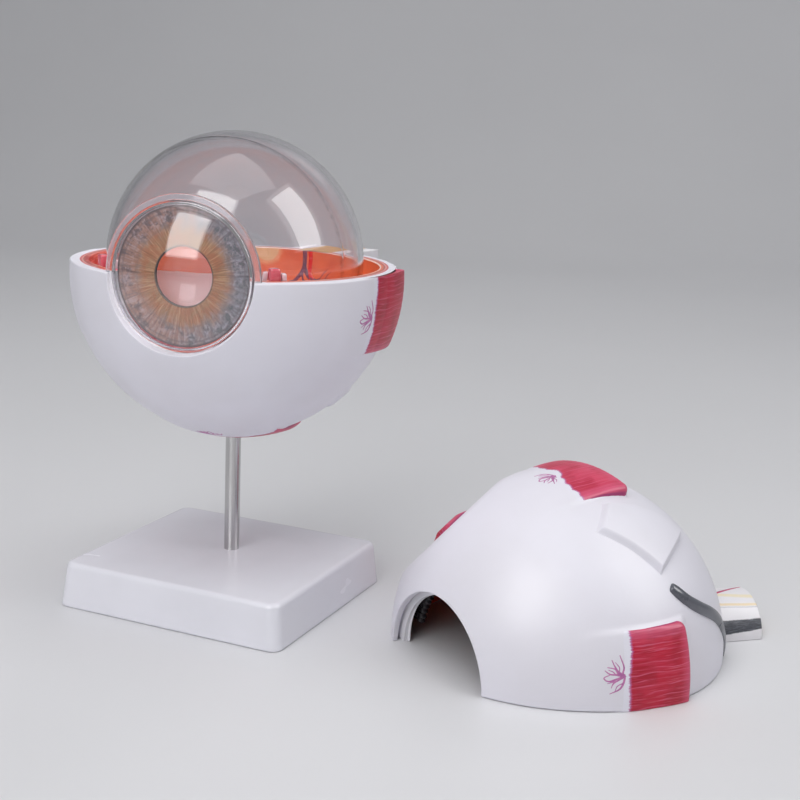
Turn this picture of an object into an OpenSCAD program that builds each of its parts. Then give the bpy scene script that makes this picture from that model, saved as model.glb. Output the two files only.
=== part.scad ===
// Six-times-size take-apart model of a human eye on a rod and a square stand.
// The upper half shell is lifted off and lies on the table beside the stand.
// World origin: foot of the support rod's axis on the table, +Z up.
// Each half shell is drawn in an eye frame: origin on the rod axis in the cut
// plane, the optical axis looks along -Y, +X is the nasal side, +Z is up.

/* [Globe] */
// Outer radius of both half shells
globe_r = 72; // [70:0.5:74]
// Height of the lower shell's rim above the table
rim_z = 154.7; // [150:0.1:165]
// How far the lower shell's sphere centre lies below its rim
bowl_drop = 5.8; // [4.5:0.1:6.5]
// How far the upper shell's sphere centre lies above its rim
lid_rise = 2.4; // [1.5:0.1:3]
// Turn of the eye about the rod, seen from above
eye_turn = 10; // [-30:1:30]
// Thickness of the white sclera shell
sclera_t = 3.6; // [3.2:0.1:4]
// Thickness of the red choroid liner
choroid_t = 2.2; // [1.8:0.1:2.4]
// Thickness of the orange retina liner
retina_t = 1.8; // [1.4:0.1:2]

/* [Upper shell on the table] */
// Distance of the upper shell from the rod, to the right
lid_x = 154.1; // [154:0.1:175]
// Distance of the upper shell from the rod, to the back
lid_y = 17.4; // [0:0.1:30]
// Turn of the upper shell about its own centre
lid_turn = -32.5; // [-40:0.5:-20]
// Depth of the flat on the upper shell's temporal side
scoop_depth = 6.3; // [5:0.1:6.5]

/* [Front optics] */
// Radius of the opening in the shells that the cornea looks out of
notch_r = 31.5; // [31.3:0.1:32]
// Radius of the cornea's mounting flange
flange_r = 33.6; // [33:0.1:33.8]
// Outer radius of the iris disc
iris_r = 29.1; // [28:0.1:29.4]
// Radius of the pupil
pupil_r = 12.5; // [12:0.1:15]
// Radius of curvature of the cornea's dome
cornea_curve = 46; // [42:1:50]
// Radius of the crystalline lens
lens_r = 19; // [17:0.5:20]
// Height of the blocks on the ciliary ring's ends above the cut plane
block_h = 4.8; // [3:0.1:5.5]

/* [Vitreous body] */
// Outer radius of the clear hollow ball
ball_r = 56.9; // [56:0.1:57]
// Wall of the clear hollow ball
ball_t = 2.4; // [2:0.1:3]

/* [Eye muscles and nerve] */
// Half height of the side muscles where they meet the cut plane
side_muscle_h = 34; // [28:1:36]
// Half width of the top and bottom muscles
top_muscle_w = 25; // [20:1:28]
// Radius of the optic nerve's sheath
nerve_r = 17.2; // [15:0.1:18]
// Radius of the nerve fibres inside the sheath
core_r = 9.5; // [8:0.1:10.5]
// Direction of the optic nerve, from the optical axis
nerve_az = 162.8; // [158:0.1:166]
// Distance of the nerve's end from the globe's axis
nerve_end = 93; // [88:1:98]

/* [Stand] */
// Width of the base at its foot
base_w = 112.6; // [105:0.1:120]
// Depth of the base at its foot
base_d = 103.8; // [98:0.1:112]
// Height of the base
base_h = 20; // [18:0.5:24]
// Inward lean of the base's sides
base_draft = 1.9; // [1:0.1:2.5]
// How far the base's middle lies in front of the rod
base_fwd = 5.2; // [0:0.1:8]
// Diameter of the support rod
rod_dia = 7; // [6:0.5:8]

/* [Hidden] */
$fn = 96;

// radii of the nested shells
r_choroid = globe_r - sclera_t;
r_retina = r_choroid - choroid_t;
r_inner = r_retina - retina_t;
// distances along the optical axis
d_flange = globe_r - 11.8;          // back of the cornea's flange
flange_t = 1.8;
d_lip = d_flange + flange_t;        // front of the flange, back of the lip
iris_t = 1.3;
d_iris = d_flange - 0.3 - iris_t;   // back of the iris
d_lens_front = d_iris - 0.7;
lens_t = 11;
groove_gap = 0.3;
// the ball lies a little above the cut plane
ball_z = 0.6;
ball_split = 16;                    // plane of the ball's welded seam
seat_gap = 0.3;
socket_r = 13;
rod_r = rod_dia / 2;
rod_fit = 0.05;
rod_top = -(ball_r + 4.1);          // top end of the rod in the eye frame
rod_foot = 7;
big = 300;

// ---------------------------------------------------------------- helpers
function dirv(p) = [cos(p[1]) * sin(p[0]), -cos(p[1]) * cos(p[0]), sin(p[1])];
function dir2(a) = [sin(a), -cos(a)];
function tan_u(p) = [cos(p[0]), sin(p[0]), 0];
function tan_v(p) = [-sin(p[1]) * sin(p[0]), sin(p[1]) * cos(p[0]), cos(p[1])];

// eye frame of each half
module lower_place() translate([0, 0, rim_z]) rotate([0, 0, eye_turn]) children();
module upper_place() translate([lid_x, lid_y, 0]) rotate([0, 0, lid_turn]) children();

module below() translate([-big, -big, -2 * big]) cube([2 * big, 2 * big, 2 * big]);
module above() translate([-big, -big, 0]) cube([2 * big, 2 * big, 2 * big]);

// ball of the half shells: lo = 1 for the lower half, 0 for the upper
module globe(r, lo) translate([0, 0, lo ? -bowl_drop : lid_rise]) sphere(r);
module half(lo) intersection() { children(); if (lo) below(); else above(); }

// cylinder about the optical axis from distance d0 to d1
module axial(r, d0, d1)
  translate([0, -d1, 0]) rotate([-90, 0, 0]) cylinder(r = r, h = d1 - d0);

// cylinder along the nerve's direction from distance d0 to d1
module nerve_rod(r, d0, d1)
  rotate([0, 0, nerve_az]) translate([0, -d1, 0])
    rotate([-90, 0, 0]) cylinder(r = r, h = d1 - d0);

// the fibres' way through the lower shells
module nerve_bore()
  rotate([0, 0, nerve_az]) translate([0, -90, 0])
    rotate([-90, 0, 0]) rotate([0, 0, 35]) cylinder(r = core_r, h = 40);

// room for the rod in whatever it passes through
module rod_hole() translate([0, 0, -big]) cylinder(r = rod_r + 0.3, h = big);

// openings that the front optics need in every shell
module front_openings() {
  axial(notch_r, d_lip - 1, big / 2);
  axial(flange_r + groove_gap, d_flange - 0.1, d_lip + 0.1);
  axial(iris_r + 0.3, d_iris - 0.2, d_flange);
}

// bowl between two radii, turned about the rod, with the hole for the rod
module bowl(r_out, r_in) rotate_extrude() difference() {
  translate([0, -bowl_drop]) intersection() {
    circle(r_out);
    translate([rod_r + 0.3, -big]) square([big, big + bowl_drop]);
  }
  translate([0, -bowl_drop]) circle(r_in);
}

// flat on the upper shell's far side, and the same set deeper for its back
scoop_dir = [-53, 41];
module scoop(extra)
  translate([0, 0, lid_rise]) rotate([0, 90 - scoop_dir[1], scoop_dir[0] - 90])
    translate([-75, -75, globe_r - scoop_depth - extra]) cube([150, 150, 60]);

// raised pad on the shell, its outline given as [azimuth, elevation] points
module patch(c, pts, r_out, lo)
  difference() {
    intersection() {
      translate([0, 0, lo ? -bowl_drop : lid_rise])
        rotate([0, 0, c[0]]) rotate([90 - c[1], 0, 0])
          linear_extrude(height = 2 * globe_r)
            polygon([for (p = pts) [dirv(p) * tan_u(c), dirv(p) * tan_v(c)] * globe_r]);
      globe(r_out, lo);
      if (lo) below(); else above();
    }
    globe(globe_r, lo);
  }

// stump of a side muscle between two azimuths, thicker towards the back
module side_muscle(az0, az1, lo)
  difference() {
    intersection() {
      linear_extrude(height = 2 * side_muscle_h, center = true)
        polygon([[0, 0], [sin(az0), -cos(az0)] * 120, [sin(az1), -cos(az1)] * 120]);
      translate([0, 7.8, lo ? -bowl_drop : lid_rise]) sphere(globe_r + 2.5);
      if (lo) below(); else above();
    }
    globe(globe_r, lo);
  }

// stump of a top or bottom muscle between two distances along the axis
module end_muscle(w, front, back, shift, grow, lo)
  difference() {
    intersection() {
      translate([-w, -front, -big / 2]) cube([2 * w, front + back, big]);
      translate([0, shift, lo ? -bowl_drop : lid_rise]) sphere(globe_r + grow);
      if (lo) below(); else above();
    }
    globe(globe_r, lo);
  }

// round tube along the great circle from direction a to direction b
module arc_tube(a, b, r_path, r) {
  p = dirv(a);
  q = dirv(b);
  n = cross(p, q) / norm(cross(p, q));
  m = cross(n, p);
  multmatrix([[p[0], m[0], n[0], 0], [p[1], m[1], n[1], 0], [p[2], m[2], n[2], 0], [0, 0, 0, 1]])
    rotate_extrude(angle = acos(p * q)) translate([r_path, 0]) circle(r);
}

module corners(w, d, r) for (x = [-1, 1], y = [-1, 1])
  translate([x * (w / 2 - r), y * (d / 2 - r), 0]) children();

// ------------------------------------------------------------------ stand
base_wall = 3;
base_corner = 5;
base_edge = 2;

module base_plate() color("whitesmoke") translate([0, -base_fwd, 0]) difference() {
  union() {
    difference() {
      hull() {
        corners(base_w, base_d, base_corner) cylinder(r = base_corner, h = 1, $fn = 32);
        translate([0, 0, base_h - base_edge])
          corners(base_w - 2 * base_draft, base_d - 2 * base_draft, base_corner)
            rotate_extrude($fn = 32) translate([base_corner - base_edge, 0]) intersection() {
              circle(base_edge, $fn = 24);
              translate([0, -base_edge]) square([base_edge, 2 * base_edge]);
            }
      }
      // hollow underside
      hull() {
        translate([0, 0, -1])
          corners(base_w - 2 * base_wall, base_d - 2 * base_wall, 3) cylinder(r = 3, h = 1, $fn = 24);
        translate([0, 0, base_h - base_wall - 1])
          corners(base_w - 2 * base_wall - 2 * base_draft, base_d - 2 * base_wall - 2 * base_draft, 3)
            cylinder(r = 3, h = 1, $fn = 24);
      }
    }
    // boss round the rod and four ribs to the walls
    translate([0, base_fwd, 4]) cylinder(r = 9, h = base_h - base_wall - 3.9);
    for (a = [0, 90]) translate([0, base_fwd * (a == 0 ? 1 : 0), base_h - base_wall - 6.45])
      cube([a == 0 ? base_w - 2 * base_wall : 2.5, a == 0 ? 2.5 : base_d - 2 * base_wall, 13], center = true);
  }
  translate([0, base_fwd, rod_foot]) cylinder(r = rod_r, h = base_h);
  translate([0, base_fwd, -1]) cylinder(r = 2.4, h = base_h);
}

module support_rod() color("silver") difference() {
  translate([0, 0, rod_foot]) cylinder(r = rod_r, h = rim_z + rod_top - rod_foot);
  translate([0, 0, rod_foot - 1]) cylinder(r = 2, h = 12);
}

module base_washer() color("gray") difference() {
  translate([0, 0, 3]) cylinder(r = 5.5, h = 1);
  translate([0, 0, 2]) cylinder(r = 2.2, h = 3);
}

module base_screw() color("dimgray") difference() {
  union() {
    translate([0, 0, 0.8]) cylinder(r = 3.8, h = 2.2);
    translate([0, 0, 2.9]) cylinder(r = 2, h = 13.1);
  }
  // cross recess in the head
  for (a = [0, 90]) rotate([0, 0, a]) translate([-2, -0.5, 0]) cube([4, 1, 1.9]);
}

// ------------------------------------------------------------- lower half
module rod_socket() color("sandybrown") lower_place() difference() {
  intersection() {
    translate([0, 0, -globe_r - 10]) cylinder(r = socket_r, h = globe_r - 30);
    globe(r_inner, 1);
  }
  translate([0, 0, ball_z]) sphere(ball_r + seat_gap);
  translate([0, 0, -globe_r - 20]) cylinder(r = rod_r + rod_fit, h = globe_r + 20 + rod_top);
}

module lower_sclera() color("white") lower_place() difference() {
  bowl(globe_r, r_choroid);
  front_openings();
  nerve_bore();
}

module lower_choroid() color("crimson") lower_place() difference() {
  bowl(r_choroid, r_retina);
  front_openings();
  nerve_bore();
}

module lower_retina() color("coral") lower_place() difference() {
  bowl(r_retina, r_inner);
  front_openings();
  nerve_bore();
}

// two small blocks on the ends of the ring's lower half, above the cut plane
module ring_blocks() for (a = [[32.9, 37.5], [-44.2, -39.4]])
  translate([0, 0, -1]) linear_extrude(height = block_h + 1)
    polygon([dir2(a[0]) * 50, dir2(a[0]) * 70, dir2(a[1]) * 70, dir2(a[1]) * 50]);

// ring that fills the gap between the liner and the front of the ball
module ciliary_ring(lo) difference() {
  intersection() {
    globe(r_inner, lo);
    axial(60, globe_r - 27.5, globe_r - 20.5);
    union() {
      if (lo) {
        below();
        ring_blocks();
      } else translate([0, 0, block_h + 0.4]) above();
    }
  }
  translate([0, 0, ball_z]) sphere(ball_r + seat_gap);
  axial(lens_r + 12, 10, globe_r);
}

module lower_ciliary_ring() color("palevioletred") lower_place() ciliary_ring(1);

module medial_rectus_lower() color("crimson") lower_place() side_muscle(74, 101, 1);
// stops a little short of the cut plane
module lateral_rectus_lower() color("crimson") lower_place() difference() {
  side_muscle(-101, -74, 1);
  translate([-big, -big, -1.4]) cube([2 * big, 2 * big, big]);
}
module inferior_rectus() color("crimson") lower_place() difference() {
  end_muscle(top_muscle_w + 3, 18, 18, 10, 2.6, 1);
  rod_hole();
}
module inferior_oblique() color("mistyrose") lower_place()
  patch([92, -47], [[80, -42], [103, -41], [107, -50], [82, -51]], globe_r + 1.4, 1);

// half of the nerve's sheath, with the room for the fibres
module nerve_sheath(lo) difference() {
  intersection() {
    nerve_rod(nerve_r, 50, nerve_end);
    if (lo) below(); else above();
  }
  globe(globe_r, lo);
  nerve_rod(core_r, 40, nerve_end + 10);
}

module nerve_core(lo) difference() {
  intersection() {
    nerve_rod(core_r, 50, nerve_end);
    if (lo) below(); else above();
  }
  globe(r_inner, lo);
}

module optic_nerve_lower() color("white") lower_place() nerve_sheath(1);
module nerve_core_lower() color("khaki") lower_place() nerve_core(1);

// ---------------------------------------------------------- loose insides
module lens_solid(grow) intersection() {
  // two shallow caps that meet in the lens's rim
  translate([0, -(d_lens_front - 38), 0]) sphere(38 + grow);
  translate([0, -(d_lens_front - lens_t + 34), 0]) sphere(34 + grow);
  axial(lens_r + grow, 20, 80);
}

module ball_wall() difference() {
  translate([0, 0, ball_z]) sphere(ball_r);
  difference() {
    translate([0, 0, ball_z]) sphere(ball_r - ball_t);
    // back wall of the dent that holds the lens
    axial(lens_r + 4, d_lens_front - lens_t - 3.4, 80);
  }
  lens_solid(0.3);
  axial(lens_r + 0.3, d_lens_front - 5, 80);
}

module vitreous_front() color("lavender") lower_place() intersection() {
  ball_wall();
  translate([-big, -ball_split - big, -big]) cube([2 * big, big, 2 * big]);
}

// the rear shell is turned about the line through the ball's middle
module vitreous_rear() color("thistle") lower_place()
  translate([0, 0, ball_z]) rotate([90, 0, 0]) rotate_extrude() difference() {
    intersection() {
      circle(ball_r);
      translate([0, -big]) square([big, big + ball_split]);
    }
    circle(ball_r - ball_t);
  }

module lens() color("aliceblue") lower_place() lens_solid(0);

module iris() color("slategray") lower_place() difference() {
  axial(iris_r, d_iris, d_iris + iris_t);
  axial(pupil_r, d_iris - 1, d_iris + iris_t + 1);
}

// clear dome on a short collar and a flange
collar_r = notch_r - 0.6;
collar_d = d_lip + 1.6;
dome_y = collar_d - sqrt(cornea_curve * cornea_curve - collar_r * collar_r);
module cornea() color("azure") lower_place() difference() {
  union() {
    axial(flange_r, d_flange, d_lip);
    axial(collar_r, d_flange, collar_d);
    intersection() {
      translate([0, -dome_y, 0]) sphere(cornea_curve);
      axial(collar_r, collar_d - 0.5, globe_r + 30);
    }
  }
  intersection() {
    translate([0, -dome_y, 0]) sphere(cornea_curve - 2);
    axial(collar_r - 2, d_flange - 1, globe_r + 30);
  }
}

// ------------------------------------------------------------- upper half
module upper_sclera() color("white") upper_place() difference() {
  half(0) globe(globe_r, 0);
  difference() {
    globe(r_choroid, 0);
    scoop(3.6);
  }
  scoop(0);
  front_openings();
  nerve_rod(core_r, 50, 90);
}

module upper_choroid() color("crimson") upper_place() difference() {
  half(0) globe(r_choroid, 0);
  globe(r_retina, 0);
  scoop(3.6);
  front_openings();
  nerve_rod(core_r, 50, 90);
}

module upper_retina() color("coral") upper_place() difference() {
  half(0) globe(r_retina, 0);
  globe(r_inner, 0);
  scoop(3.6);
  front_openings();
  nerve_rod(core_r, 50, 90);
}

module upper_ciliary_ring() color("palevioletred") upper_place() difference() {
  ciliary_ring(0);
  scoop(3.6);
}

module medial_rectus_upper() color("crimson") upper_place() difference() {
  side_muscle(72.5, 96.2, 0);
  translate([-big, -big, side_muscle_h - 2.3]) cube([2 * big, 2 * big, big]);
}
// this one runs forward and down over the flat
lateral_dir = [-82, 16];
lateral_outline = [[-72.5, -6], [-72.5, 6], [-68, 19], [-63.5, 31.5], [-69, 35], [-90, 34.5], [-97.5, 32], [-97.5, -6]];
module lateral_rectus_upper() color("crimson") upper_place() difference() {
  intersection() {
    translate([0, 0, lid_rise]) rotate([0, 0, lateral_dir[0]]) rotate([90 - lateral_dir[1], 0, 0])
      linear_extrude(height = 2 * globe_r)
        polygon([for (p = lateral_outline) [dirv(p) * tan_u(lateral_dir), dirv(p) * tan_v(lateral_dir)] * globe_r]);
    translate([0, 7.8, lid_rise]) sphere(globe_r + 2.5);
    above();
  }
  scoop(-1.8);
  difference() {
    globe(globe_r, 0);
    scoop(0);
  }
}
module superior_rectus() color("crimson") upper_place() end_muscle(top_muscle_w - 2.2, 9.5, 16, 12.4, 2.9, 0);
module superior_oblique() color("white") upper_place() difference() {
  patch([98, 56], [[84.1, 69], [67.3, 56.2], [83.3, 48.8], [94, 38.2], [129.5, 45.7], [134, 53], [112, 65.5]],
    globe_r + 2.6, 0);
  end_muscle(top_muscle_w - 2, 13, 16.2, 12.4, 12, 0);
}

// a tube that runs back along the shell, then turns down to the rim
module vortex_vein() color("slategray") upper_place() difference() {
  intersection() {
    translate([0, 0, lid_rise]) union() {
      arc_tube([97.5, 33.2], [124.5, 16], globe_r + 0.4, 2.4);
      arc_tube([120, 20], [138, -5], globe_r + 0.4, 2.4);
    }
    above();
  }
  globe(globe_r, 0);
}

module optic_nerve_upper() color("white") upper_place() nerve_sheath(0);
module nerve_core_upper() color("khaki") upper_place() nerve_core(0);

base_plate();
support_rod();
base_washer();
base_screw();
rod_socket();
lower_sclera();
lower_choroid();
lower_retina();
lower_ciliary_ring();
medial_rectus_lower();
lateral_rectus_lower();
inferior_rectus();
inferior_oblique();
optic_nerve_lower();
nerve_core_lower();
vitreous_front();
vitreous_rear();
lens();
iris();
cornea();
upper_sclera();
upper_choroid();
upper_retina();
upper_ciliary_ring();
medial_rectus_upper();
lateral_rectus_upper();
superior_rectus();
superior_oblique();
vortex_vein();
optic_nerve_upper();
nerve_core_upper();
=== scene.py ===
import math

import bmesh
import bpy
import numpy as np
from mathutils import Matrix, Vector


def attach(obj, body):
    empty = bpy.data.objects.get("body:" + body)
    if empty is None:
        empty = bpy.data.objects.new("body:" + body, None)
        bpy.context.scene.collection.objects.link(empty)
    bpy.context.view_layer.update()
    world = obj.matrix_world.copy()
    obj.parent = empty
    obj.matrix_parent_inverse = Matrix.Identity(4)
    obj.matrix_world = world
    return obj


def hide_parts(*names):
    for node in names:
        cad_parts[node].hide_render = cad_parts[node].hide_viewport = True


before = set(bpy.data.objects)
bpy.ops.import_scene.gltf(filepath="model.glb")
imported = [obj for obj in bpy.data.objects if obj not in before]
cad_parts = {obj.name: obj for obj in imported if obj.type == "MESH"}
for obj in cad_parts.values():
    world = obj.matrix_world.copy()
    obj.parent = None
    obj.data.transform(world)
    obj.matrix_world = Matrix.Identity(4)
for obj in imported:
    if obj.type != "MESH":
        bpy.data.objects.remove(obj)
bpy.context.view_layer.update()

# Lengths in this script are millimetres in the frame of one half of the eye
# (origin on the rod's axis in the cut plane, optical axis along -Y, +Z up),
# unless a name says otherwise. MM turns them into metres.
MM = 0.001
RIM_Z = 154.7
LOWER = Matrix.Translation((0, 0, RIM_Z * MM)) @ Matrix.Rotation(math.radians(10.0), 4, "Z")
UPPER = Matrix.Translation((0.1541, 0.0174, 0)) @ Matrix.Rotation(math.radians(-32.5), 4, "Z")
WORLD = Matrix.Identity(4)
ZC = {True: 2.4, False: 5.8}      # height of the sphere's centre inside the half
PLACE = {True: UPPER, False: LOWER}
BODY = {True: "lid", False: "globe"}
GLOBE_R = 72.0


# ---------------------------------------------------------------- node helper
class Nodes:
    """Small builder for one material's node tree."""

    built = True          # pieces made by this script carry their own coordinates in the attribute eye

    def __init__(self, name):
        self.mat = bpy.data.materials.new(name)
        self.mat.use_nodes = True
        self.t = self.mat.node_tree
        self.t.nodes.clear()
        self.out = self.t.nodes.new("ShaderNodeOutputMaterial")
        self.x = 0

    def new(self, kind, **props):
        n = self.t.nodes.new(kind)
        for k, v in props.items():
            setattr(n, k, v)
        self.x += 1
        n.location = (-1500 + 40 * self.x, -30 * self.x)
        return n

    def put(self, sock, value):
        if hasattr(value, "is_output"):
            self.t.links.new(value, sock)
        elif value is not None:
            if isinstance(value, (tuple, list)) and len(value) == 3 and sock.type == "RGBA":
                value = (*value, 1.0)
            sock.default_value = value

    def math(self, op, a, b=None, c=None, clamp=False):
        n = self.new("ShaderNodeMath", operation=op, use_clamp=clamp)
        for s, v in zip(n.inputs, (a, b, c)):
            self.put(s, v)
        return n.outputs[0]

    def vmath(self, op, a, b=None, scale=None):
        n = self.new("ShaderNodeVectorMath", operation=op)
        self.put(n.inputs[0], a)
        if b is not None:
            self.put(n.inputs[1], b)
        if scale is not None:
            self.put(n.inputs["Scale"], scale)
        return n.outputs["Value"] if op in ("LENGTH", "DOT_PRODUCT", "DISTANCE") else n.outputs[0]

    def obj(self):
        if Nodes.built:
            return self.attr("eye")
        return self.new("ShaderNodeTexCoord").outputs["Object"]

    def attr(self, name, what="Vector"):
        return self.new("ShaderNodeAttribute", attribute_name=name).outputs[what]

    def sep(self, v):
        n = self.new("ShaderNodeSeparateXYZ")
        self.put(n.inputs[0], v)
        return n.outputs[0], n.outputs[1], n.outputs[2]

    def comb(self, x=0.0, y=0.0, z=0.0):
        n = self.new("ShaderNodeCombineXYZ")
        for s, v in zip(n.inputs, (x, y, z)):
            self.put(s, v)
        return n.outputs[0]

    def noise(self, vec, scale, detail=3.0, rough=0.55, distort=0.0, out=0):
        n = self.new("ShaderNodeTexNoise")
        self.put(n.inputs["Vector"], vec)
        n.inputs["Scale"].default_value = scale
        n.inputs["Detail"].default_value = detail
        n.inputs["Roughness"].default_value = rough
        n.inputs["Distortion"].default_value = distort
        return n.outputs[out]

    def voronoi(self, vec, scale, feature="F1", out=0):
        n = self.new("ShaderNodeTexVoronoi", feature=feature)
        self.put(n.inputs["Vector"], vec)
        n.inputs["Scale"].default_value = scale
        return n.outputs[out]

    def ramp(self, fac, stops, interp="LINEAR"):
        n = self.new("ShaderNodeValToRGB")
        cr = n.color_ramp
        cr.interpolation = interp
        while len(cr.elements) > 1:
            cr.elements.remove(cr.elements[-1])
        cr.elements[0].position = stops[0][0]
        cr.elements[0].color = (*stops[0][1], 1) if hasattr(stops[0][1], "__len__") else (stops[0][1],) * 3 + (1,)
        for pos, col in stops[1:]:
            e = cr.elements.new(pos)
            e.color = (*col, 1) if hasattr(col, "__len__") else (col,) * 3 + (1,)
        self.put(n.inputs[0], fac)
        return n.outputs[0]

    def step(self, v, lo, hi, a=0.0, b=1.0):
        n = self.new("ShaderNodeMapRange", interpolation_type="SMOOTHSTEP")
        for s, x in zip(n.inputs, (v, lo, hi, a, b)):
            self.put(s, x)
        return n.outputs[0]

    def mix(self, fac, a, b, blend="MIX"):
        n = self.new("ShaderNodeMix", data_type="RGBA", blend_type=blend)
        self.put(n.inputs[0], fac)
        self.put(n.inputs[6], a)
        self.put(n.inputs[7], b)
        return n.outputs[2]

    def bump(self, height, distance, strength=1.0, normal=None):
        n = self.new("ShaderNodeBump")
        n.inputs["Strength"].default_value = strength
        n.inputs["Distance"].default_value = distance
        self.put(n.inputs["Height"], height)
        if normal is not None:
            self.put(n.inputs["Normal"], normal)
        return n.outputs[0]

    def shader(self, **sockets):
        p = self.new("ShaderNodeBsdfPrincipled")
        for k, v in sockets.items():
            self.put(p.inputs[k.replace("_", " ")], v)
        self.t.links.new(p.outputs[0], self.out.inputs[0])
        self.bsdf = p
        return self.mat


# ------------------------------------------------------------------ materials
def plastic_white(name, tint=(0.80, 0.79, 0.86), rough=0.33, grain=1.0, warm=0.02):
    """Cool white moulded and sprayed plastic: faint clouding, fine orange peel, a little handling haze."""
    n = Nodes(name)
    co = n.obj()
    cloud = n.noise(co, 22.0, 3.0, 0.5)
    fine = n.noise(co, 900.0, 3.0, 0.6)
    speck = n.voronoi(co, 260.0)
    dark = tuple(c * (1 - 0.045) - warm * k for c, k in zip(tint, (0.0, 0.2, 0.6)))
    col = n.mix(n.step(cloud, 0.35, 0.66), tint, dark)
    col = n.mix(n.step(speck, 0.04, 0.02, 0.0, 0.08), col, (0.55, 0.53, 0.54))
    smear = n.noise(n.vmath("MULTIPLY", co, (40.0, 40.0, 90.0)), 1.0, 2.0, 0.5)
    r = n.math("ADD", n.math("MULTIPLY", smear, 0.07), rough - 0.035)
    b = n.bump(fine, 0.00006 * grain, 0.35)
    return n.shader(Base_Color=col, Roughness=r, Normal=b, IOR=1.47, Coat_Weight=0.07, Coat_Roughness=0.26)


def painted(name, col_a, col_b, rough=0.25, scale=60.0, coat=0.3):
    """Hand-painted gloss colour with uneven film thickness and brush drag."""
    n = Nodes(name)
    co = n.obj()
    big = n.noise(co, scale, 4.0, 0.6, 0.3)
    drag = n.noise(n.vmath("MULTIPLY", co, (160.0, 160.0, 700.0)), 1.0, 3.0, 0.6)
    col = n.mix(n.step(big, 0.3, 0.7), col_a, col_b)
    col = n.mix(n.step(drag, 0.45, 0.75, 0.0, 0.25), col, tuple(min(1, c * 1.35 + 0.02) for c in col_a))
    r = n.math("ADD", n.math("MULTIPLY", big, 0.12), rough - 0.05)
    b = n.bump(drag, 0.00012, 0.3)
    return n.shader(Base_Color=col, Roughness=r, Normal=b, IOR=1.5, Coat_Weight=coat, Coat_Roughness=0.1)


def opening_paint(n, co, col, wall=(0.78, 0.77, 0.81)):
    """White paint on the wall of the front opening, whose edge wanders a little."""
    x, y, z = n.sep(co)
    rho = n.math("MULTIPLY", n.vmath("LENGTH", n.comb(x, 0.0, z)), 1000.0)
    d = n.math("MULTIPLY", y, -1000.0)
    wob = n.math("MULTIPLY", n.math("SUBTRACT", n.noise(co, 350.0, 2.0), 0.5), 0.3)
    dd = n.math("ADD", d, wob)
    m = n.math("MULTIPLY", n.step(dd, 57.9, 58.1), n.step(rho, 34.6, 34.3))
    return n.mix(m, col, wall), dd


def retina_material(up):
    """Orange retina: brushed paint, a deeper tone in random patches, the pale yellow spot opposite the lens."""
    n = Nodes("retina_upper" if up else "retina_lower")
    co = n.obj()
    x, y, z = n.sep(co)
    big = n.noise(co, 45.0, 4.0, 0.6, 0.4)
    fine = n.noise(n.vmath("MULTIPLY", co, (300.0, 300.0, 90.0)), 1.0, 4.0, 0.62)
    col = n.mix(n.step(big, 0.32, 0.68), (0.74, 0.138, 0.044), (0.64, 0.100, 0.036))
    col = n.mix(n.step(fine, 0.5, 0.8, 0.0, 0.35), col, (0.80, 0.22, 0.09))
    # yellow spot, painted with a soft edge
    spot = (math.sin(math.radians(-173.4)) * 0.0641, -math.cos(math.radians(-173.4)) * 0.0641, 0.0)
    d = n.vmath("DISTANCE", n.vmath("MULTIPLY", co, (1.0, 1.0, 0.92)), spot)
    wob = n.math("MULTIPLY", n.math("SUBTRACT", n.noise(co, 420.0, 2.0), 0.5), 0.0016)
    dd = n.math("ADD", d, wob)
    col = n.mix(n.step(dd, 0.0092, 0.0066), col, (0.76, 0.30, 0.14))
    col = n.mix(n.step(dd, 0.0066, 0.0058), col, (0.74, 0.45, 0.24))
    # pale inner edge of the cut rim
    rr = n.vmath("LENGTH", n.comb(x, y, 0.0))
    rim = n.step(n.math("ABSOLUTE", z), 0.00055, 0.00025)
    line = n.math("MULTIPLY", rim, n.math("SUBTRACT", 1.0, n.step(rr, 0.06470, 0.06500)))
    wobr = n.noise(co, 160.0, 2.0)
    col = n.mix(n.math("MULTIPLY", line, n.step(wobr, 0.25, 0.5, 0.55, 1.0)), col, (0.86, 0.66, 0.58))
    if not up:
        # the front of the temporal side is brushed over in pinkish red, with wavy dark lines
        zone = n.math("MULTIPLY", n.step(x, -0.042, -0.054), n.step(z, -0.026, -0.010))
        wav = n.noise(n.comb(n.math("MULTIPLY", x, 40.0), n.math("MULTIPLY", y, 40.0), n.math("MULTIPLY", z, 520.0)), 1.0, 3.0, 0.6, 0.4)
        red = n.mix(n.step(wav, 0.46, 0.56), (0.42, 0.030, 0.026), (0.66, 0.150, 0.120))
        col = n.mix(zone, col, red)
    col, dd = opening_paint(n, co, col)
    if up:
        # in front of the folds the inside of the upper shell is painted near black, which is painted shade for the
        # unlit inside of the lid laid over the orange; a dark red line runs behind the white
        inside = n.step(rr, 0.0690, 0.0680)
        zone = n.math("MULTIPLY", n.step(dd, 33.0, 36.0), n.step(dd, 57.8, 57.6))
        col = n.mix(n.math("MULTIPLY", zone, inside), col, n.mix(big, (0.030, 0.027, 0.033), (0.048, 0.042, 0.050)))
        line2 = n.math("MULTIPLY", n.step(dd, 56.6, 56.9), n.step(dd, 57.95, 57.8))
        col = n.mix(line2, col, (0.16, 0.018, 0.020))
    r = n.math("ADD", n.math("MULTIPLY", fine, 0.10), 0.30)
    b = n.bump(fine, 0.00010, 0.35)
    return n.shader(Base_Color=col, Roughness=r, Normal=b, IOR=1.5, Coat_Weight=0.12, Coat_Roughness=0.22)


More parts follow.
